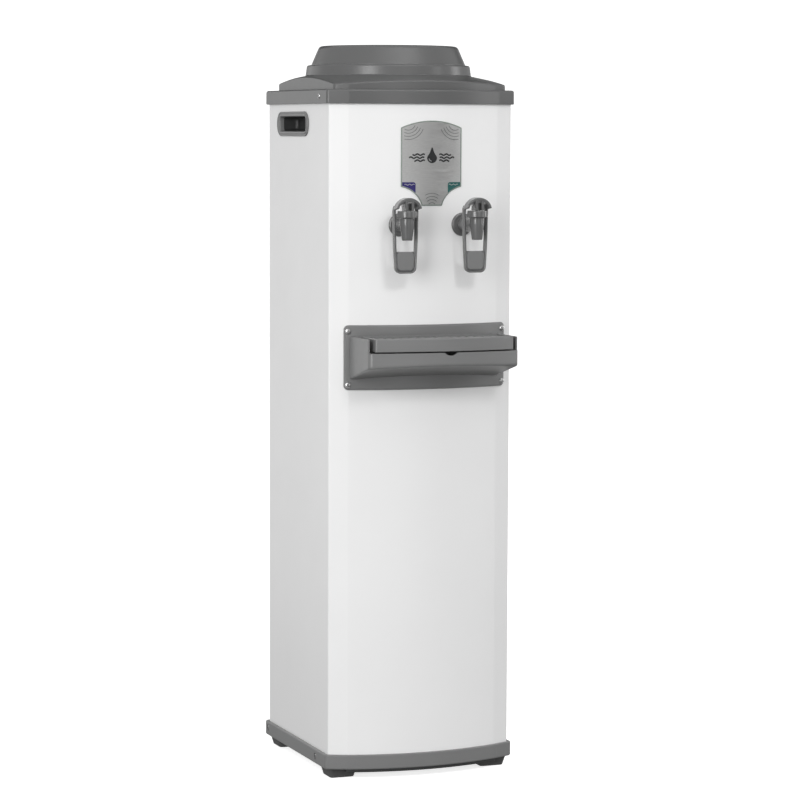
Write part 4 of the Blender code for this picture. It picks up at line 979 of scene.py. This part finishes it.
def drip_tray():
    """Pan with a separate front lip, and the slotted grille that lies in it."""
    rows = [(1.2, 589.5), (0.3, 589.8), (0, 590.5), (0, 605.6), (0.4, 606.5), (1.2, 607), (1.8, 607),
            (2.2, 606.6), (2.2, 602.2), (3.5, 602.2), (4, 592.5), (5, 591.5)]
    pan = loft([level(box_plan(TRAY_HALF, inset + 2.5, -164 - inset, 6), z) for inset, z in rows])
    rows = [(1.4, 589.1), (0.3, 589.5), (0, 590.5), (0, 605.4), (0.4, 606.4), (1.4, 607), (2.6, 607)]
    back = CHEEK_END - 2.2
    lip = loft([level(box_plan(LIP_HALF, inset, back + inset * 0.4, 5.5), z) for inset, z in rows])
    stand_in("drip_tray", "pan", merged(pan, lip), TRAY_GREY, body="drip_tray")
    slots = [rounded_rectangle((11.8 * number, -190.5), (5, 36), 2.4, 5) for number in range(-7, 8)]
    grille = plate([box_plan(TRAY_HALF, 5.1, -166.7, 6.8)] + slots, 2.4, 0.5)
    piece("drip_grille_bars", shifted(grille, 0, 0, 602.4), TRAY_GREY, "drip_grille", "grille")


def tray_screws():
    """Four screws in the corners of the wall plate and a small one at its right."""
    facet = atan(FACET_SLOPE)
    x = PLATE_SHIFT + 109.5
    screw("tray_plate_rivet", (x, front_y(x, 3.6), 557.2), facet, 0.2, radius=2.8, height=1.4)
    for side, hand in HANDS:
        x = PLATE_SHIFT + side * 112.5
        for z, place, turn in ((540, "lower", 0.5), (612.5, "upper", 1.1)):
            name = f"tray_screw_{hand}_{place}"
            screw(name + "_head", (x, front_y(x, 4), z), facet * side, turn + side, name)


# ---- back of the cabinet
KNOB_X, KNOB_Z = 82, 860
REAR_FACE = HALF_DEPTH + GAP + SHEET


def rear_sheet():
    """Flat zinc-coated panel with holes for the knob's shaft and the cord, and its eight screws."""
    outline = rounded_rectangle((0, 589.5), (260, 655), 4, 5)
    holes = [arc_points((KNOB_X, KNOB_Z), 4.5, 0, 1.94, 32), arc_points((60, 288), 6.8, 0, 1.94, 32)]
    sheet = upright(plate([outline] + holes, SHEET, 0.3, 1))
    piece("rear_sheet", shifted(sheet, 0, REAR_FACE, 0), ZINC, "rear_panel")
    spots = [(x, z) for x in (-122, 122) for z in (275, 480, 690, 904)]
    for number, (x, z) in enumerate(spots, 1):
        screw(f"rear_sheet_screw_{number}", (x, REAR_FACE, z), pi, 0.7 * number, radius=3.6, height=1.8)


def knob():
    """Thermostat knob with a fluted grip and a mark."""
    low, flutes, steps = REAR_FACE + 0.5, 20, 120
    tall = 152 - low
    rows = [(15.9, 0, 0), (16.5, 0.6, 0), (16.5, 3, 0), (15.5, 4, 0), (14.6, 4.6, 0.6),
            (14, tall - 1.8, 0.6), (13.4, tall - 0.8, 0.6), (12.2, tall, 0), (11, tall - 0.6, 0)]
    loops = []
    for radius, out, depth in rows:
        ring = []
        for angle in (2 * pi * step / steps for step in range(steps)):
            dip = depth * (0.5 - 0.5 * cos(flutes * angle))
            ring.append((*polar(radius - dip, angle), out))
        loops.append(ring)
    place = outward(KNOB_X, low, KNOB_Z, pi)
    stand_in("thermostat_knob", "cap", moved(loft(loops), place), TRAY_GREY, body="knob")
    mark = block((-0.7, 3, tall - 0.7), (0.7, 10.5, tall - 0.1), 0.2, 1)
    piece("thermostat_knob_mark", moved(mark, place), WHITE_PLASTIC, body="knob")


def compressor():
    """Black pot with its weld seam on a rail, grommets, relay box with a clip, and filling stub."""
    dome = soften([(0, 186), (30, 185), (50, 168), (56, 138), (56, 108)], 30, 12)
    seam = [(58.5, 106.8), (58.8, 103.5), (58.5, 100.2)]
    pot = soften([(56, 99), (56, 68), (47, 46), (30, 40), (0, 36)], 18, 10)
    body = shifted(revolve(dome + seam + pot, 112, 1.18), 10, 52, 0)
    rail = block((-82, -6, 33.5), (102, 110, 37.5), 1.2)
    piece("compressor_pot", merged(body, rail), BLACK_PAINT, "compressor", sharp=45)
    for number, (x, y) in enumerate(((-70, 6), (-70, 98), (90, 6), (90, 98)), 1):
        rubber = revolve([
            (3, 17.5), (8.8, 17.5), (9, 18.5), (9, 23), (7.4, 24), (7.4, 26.2), (9, 27.2), (9, 32.5),
            (8.3, 33.3), (3, 33.3)], 40)
        piece(f"compressor_grommet_{number}", shifted(rubber, x, y, 0), RUBBER)
        stud = revolve([
            (0, 44), (1.8, 44), (2.1, 43.7), (2.1, 41.2), (4, 41), (4, 38.8), (7.2, 38.6), (7.4, 37.7),
            (0, 37.7)], 30)
        piece(f"compressor_stud_{number}", shifted(stud, x, y, 0), SCREW_STEEL)
    side = 79.83
    lid = block((side + 24, 36, 94), (side + 26, 68, 132), 0.8)
    relay = merged(block((side, 30, 88), (side + 25.5, 74, 138), 4.2, 4), lid)
    piece("relay_cover_box", relay, BLACK_PAINT, "relay_cover")
    clip = [(1, 138.6), (15, 138.6), (26.2, 136), (26.2, 90), (15, 87.4), (1, 87.4)]
    wire = tube([(side + out, 52, z) for out, z in soften(clip, 2.2, 4)], 0.7, 8)
    piece("relay_cover_clip", wire, SCREW_STEEL)
    stub = [(-30, 92, 112), (-42, 106, 113), (-50, 114, 120), (-52, 116, 142)]
    piece("filling_stub", tube(stub, 3, 14), COPPER)


def condenser_wires():
    """Fine rods across the passes, welded to the outer face of the condenser tube."""
    spots = [(-87 + 174 * number / 29, 149.9) for number in range(30)]
    bars = [tube([(x, y, 318), (x, y, 726)], 0.7, 6) for x, y in spots]
    piece("condenser_wires", merged(*bars), BLACK_PAINT)


def carried_over():
    """CAD nodes that stay in view take their slot's first finish and smooth shading."""
    for name, node in frame["nodes"].items():
        if node.hide_render:
            continue
        slot = node.material_slots[0].material.name.split(".")[0]
        node.data.materials.clear()
        node.data.materials.append(GLOSS_GREY if name.startswith("tap_stem") else FINISHES[slot][0])
        node.data.shade_smooth()
        node.data.set_sharp_from_angle(angle=radians(34))


# ---- stage
FLOOR_GLOW = 0.74
SKY = 0.57
GROUND = 0.24
AIM = Vector((0.0, 0.04, 0.6))
WINDOWS = (  # name, (azimuth, elevation, distance), size, watts
    ("left_window", (-48, 10, 3.5), (1.3, 2.4), 62),
    ("rear_left_window", (-152, 4, 3.8), (2.6, 2.6), 12),
    ("front_window", (4, 4, 3.9), (0.7, 2.0), 4),
    ("right_window", (52, 8, 3.6), (0.6, 2.0), 10),
    ("far_right_window", (88, 10, 3.5), (0.7, 2.0), 18),
    ("top_window", (-6, 56, 3.2), (2.6, 1.2), 5),
    ("key_light", (1, 32, 4.4), (0.75, 0.75), 38),
    ("edge_strip", (6, 44, 3.4), (2.8, 0.3), 16),
)
CARDS = (  # name, (azimuth, elevation, distance), size
    ("card_behind", (160, 32, 4.0), (6.0, 2.2)),
    ("card_right", (30, 0, 4.6), (1.2, 3.0)),
    ("card_front_left", (-16, 0, 4.6), (1.1, 3.0)),
)


def aimed(obj, azimuth, elevation, distance):
    """Put a light or card round the object: azimuth 0 is straight in front and grows to the right."""
    turn, lift = radians(azimuth), radians(elevation)
    flat = distance * cos(lift)
    obj.location = AIM + Vector((flat * sin(turn), -flat * cos(turn), distance * sin(lift)))
    obj.rotation_euler = (AIM - obj.location).to_track_quat("-Z", "Y").to_euler()
    return obj


def unseen(obj, *kinds):
    """Keep an object out of these kinds of light paths."""
    for kind in kinds:
        setattr(obj, "visible_" + kind, False)


def staged(name, bm, material):
    mesh = mesh_of(name, bm)
    mesh.materials.append(material)
    obj = linked(name, mesh)
    return obj


def glowing(name, colour, glow):
    nodes = Nodes(name, colour, 0.9, emission_color=(1, 1, 1, 1), emission_strength=glow)
    nodes.tint(nodes.noise(0.8, 2.0), (0.3, 0.7), (0.99, 1.0))
    return nodes.material


def surroundings():
    """White ground and backdrop that only the camera sees, and black cards that only reflections show."""
    disc = bmesh.new()
    bmesh.ops.create_circle(disc, cap_ends=True, segments=96, radius=40.0)
    floor = staged("studio_floor", disc, glowing("pale_floor", (0.86, 0.86, 0.86), FLOOR_GLOW))
    wall = bmesh.new()
    bmesh.ops.create_cone(wall, cap_ends=False, segments=96, radius1=38.0, radius2=38.0, depth=60.0)
    backdrop = staged("studio_backdrop", wall, glowing("pale_backdrop", (0.5, 0.5, 0.5), 1.0))
    for obj in (floor, backdrop):
        unseen(obj, "diffuse", "glossy", "transmission", "shadow")
    for name, place, size in CARDS:
        sheet = bmesh.new()
        bmesh.ops.create_grid(sheet, x_segments=1, y_segments=1, size=0.5)
        bmesh.ops.scale(sheet, vec=(*size, 1), verts=sheet.verts)
        unseen(aimed(staged(name, sheet, CARD_BLACK), *place), "camera", "diffuse", "shadow")


def lights():
    for name, place, size, power in WINDOWS:
        light = bpy.data.lights.new(name, "AREA")
        light.shape = "RECTANGLE"
        light.size, light.size_y = size
        light.energy = power
        aimed(linked(name, light), *place)
    unseen(bpy.data.objects["key_light"], "glossy")
    unseen(bpy.data.objects["edge_strip"], "diffuse")


def sky():
    """White world, dimmer below the horizon."""
    world = bpy.data.worlds.new("studio_world")
    world.use_nodes = True
    bpy.context.scene.world = world
    nodes, links = world.node_tree.nodes, world.node_tree.links
    split = nodes.new("ShaderNodeSeparateXYZ")
    links.new(nodes.new("ShaderNodeTexCoord").outputs["Generated"], split.inputs["Vector"])
    fade = nodes.new("ShaderNodeMapRange")
    set_inputs(fade, from_min=-0.35, from_max=0.25, to_min=GROUND, to_max=SKY)
    links.new(split.outputs["Z"], fade.inputs["Value"])
    set_inputs(nodes["Background"], color=(1, 1, 1, 1))
    links.new(fade.outputs["Result"], nodes["Background"].inputs["Strength"])


def photo_camera():
    """The camera solved from the photo."""
    camera = bpy.data.cameras.new("photo_view")
    camera.lens = 133.8
    camera.sensor_width = 36.0
    camera.clip_end = 100.0
    holder = linked("photo_view", camera)
    matrix = Matrix.Translation((-1.4714, -3.8538, 0.8826))
    for degrees, axis in ((-20.955, "Z"), (84.812, "X"), (0.205, "Z")):
        matrix = matrix @ Matrix.Rotation(radians(degrees), 4, axis)
    holder.matrix_world = matrix
    bpy.context.scene.camera = holder


# ---- assembly
cabinet_skin()
grip("grip_handle_left", -1)
grip("grip_handle_right", 1)
base()
for end in ("front", "rear"):
    for hand in ("left", "right"):
        foot(f"foot_{end}_{hand}")
cover()
collar()
for side, hand in HANDS:
    spot = (side * (HALF_WIDTH + 3.2), -97, 927.8)
    screw(f"cover_screw_{hand}_head", spot, side * pi / 2, 0.4, f"cover_screw_{hand}")
for number, (side, y, z) in enumerate(base_screw_spots()):
    spot = (side * (HALF_WIDTH + 2.6), y, z)
    screw(f"base_screw_{number}", spot, side * pi / 2, 0.9, radius=3.9, height=2.2)
badge()
tap("left")
tap("right")
housing()
drip_tray()
tray_screws()
rear_sheet()
knob()
compressor()
condenser_wires()
carried_over()
surroundings()
sky()
lights()
photo_camera()
bpy.context.scene.view_settings.view_transform = "Standard"
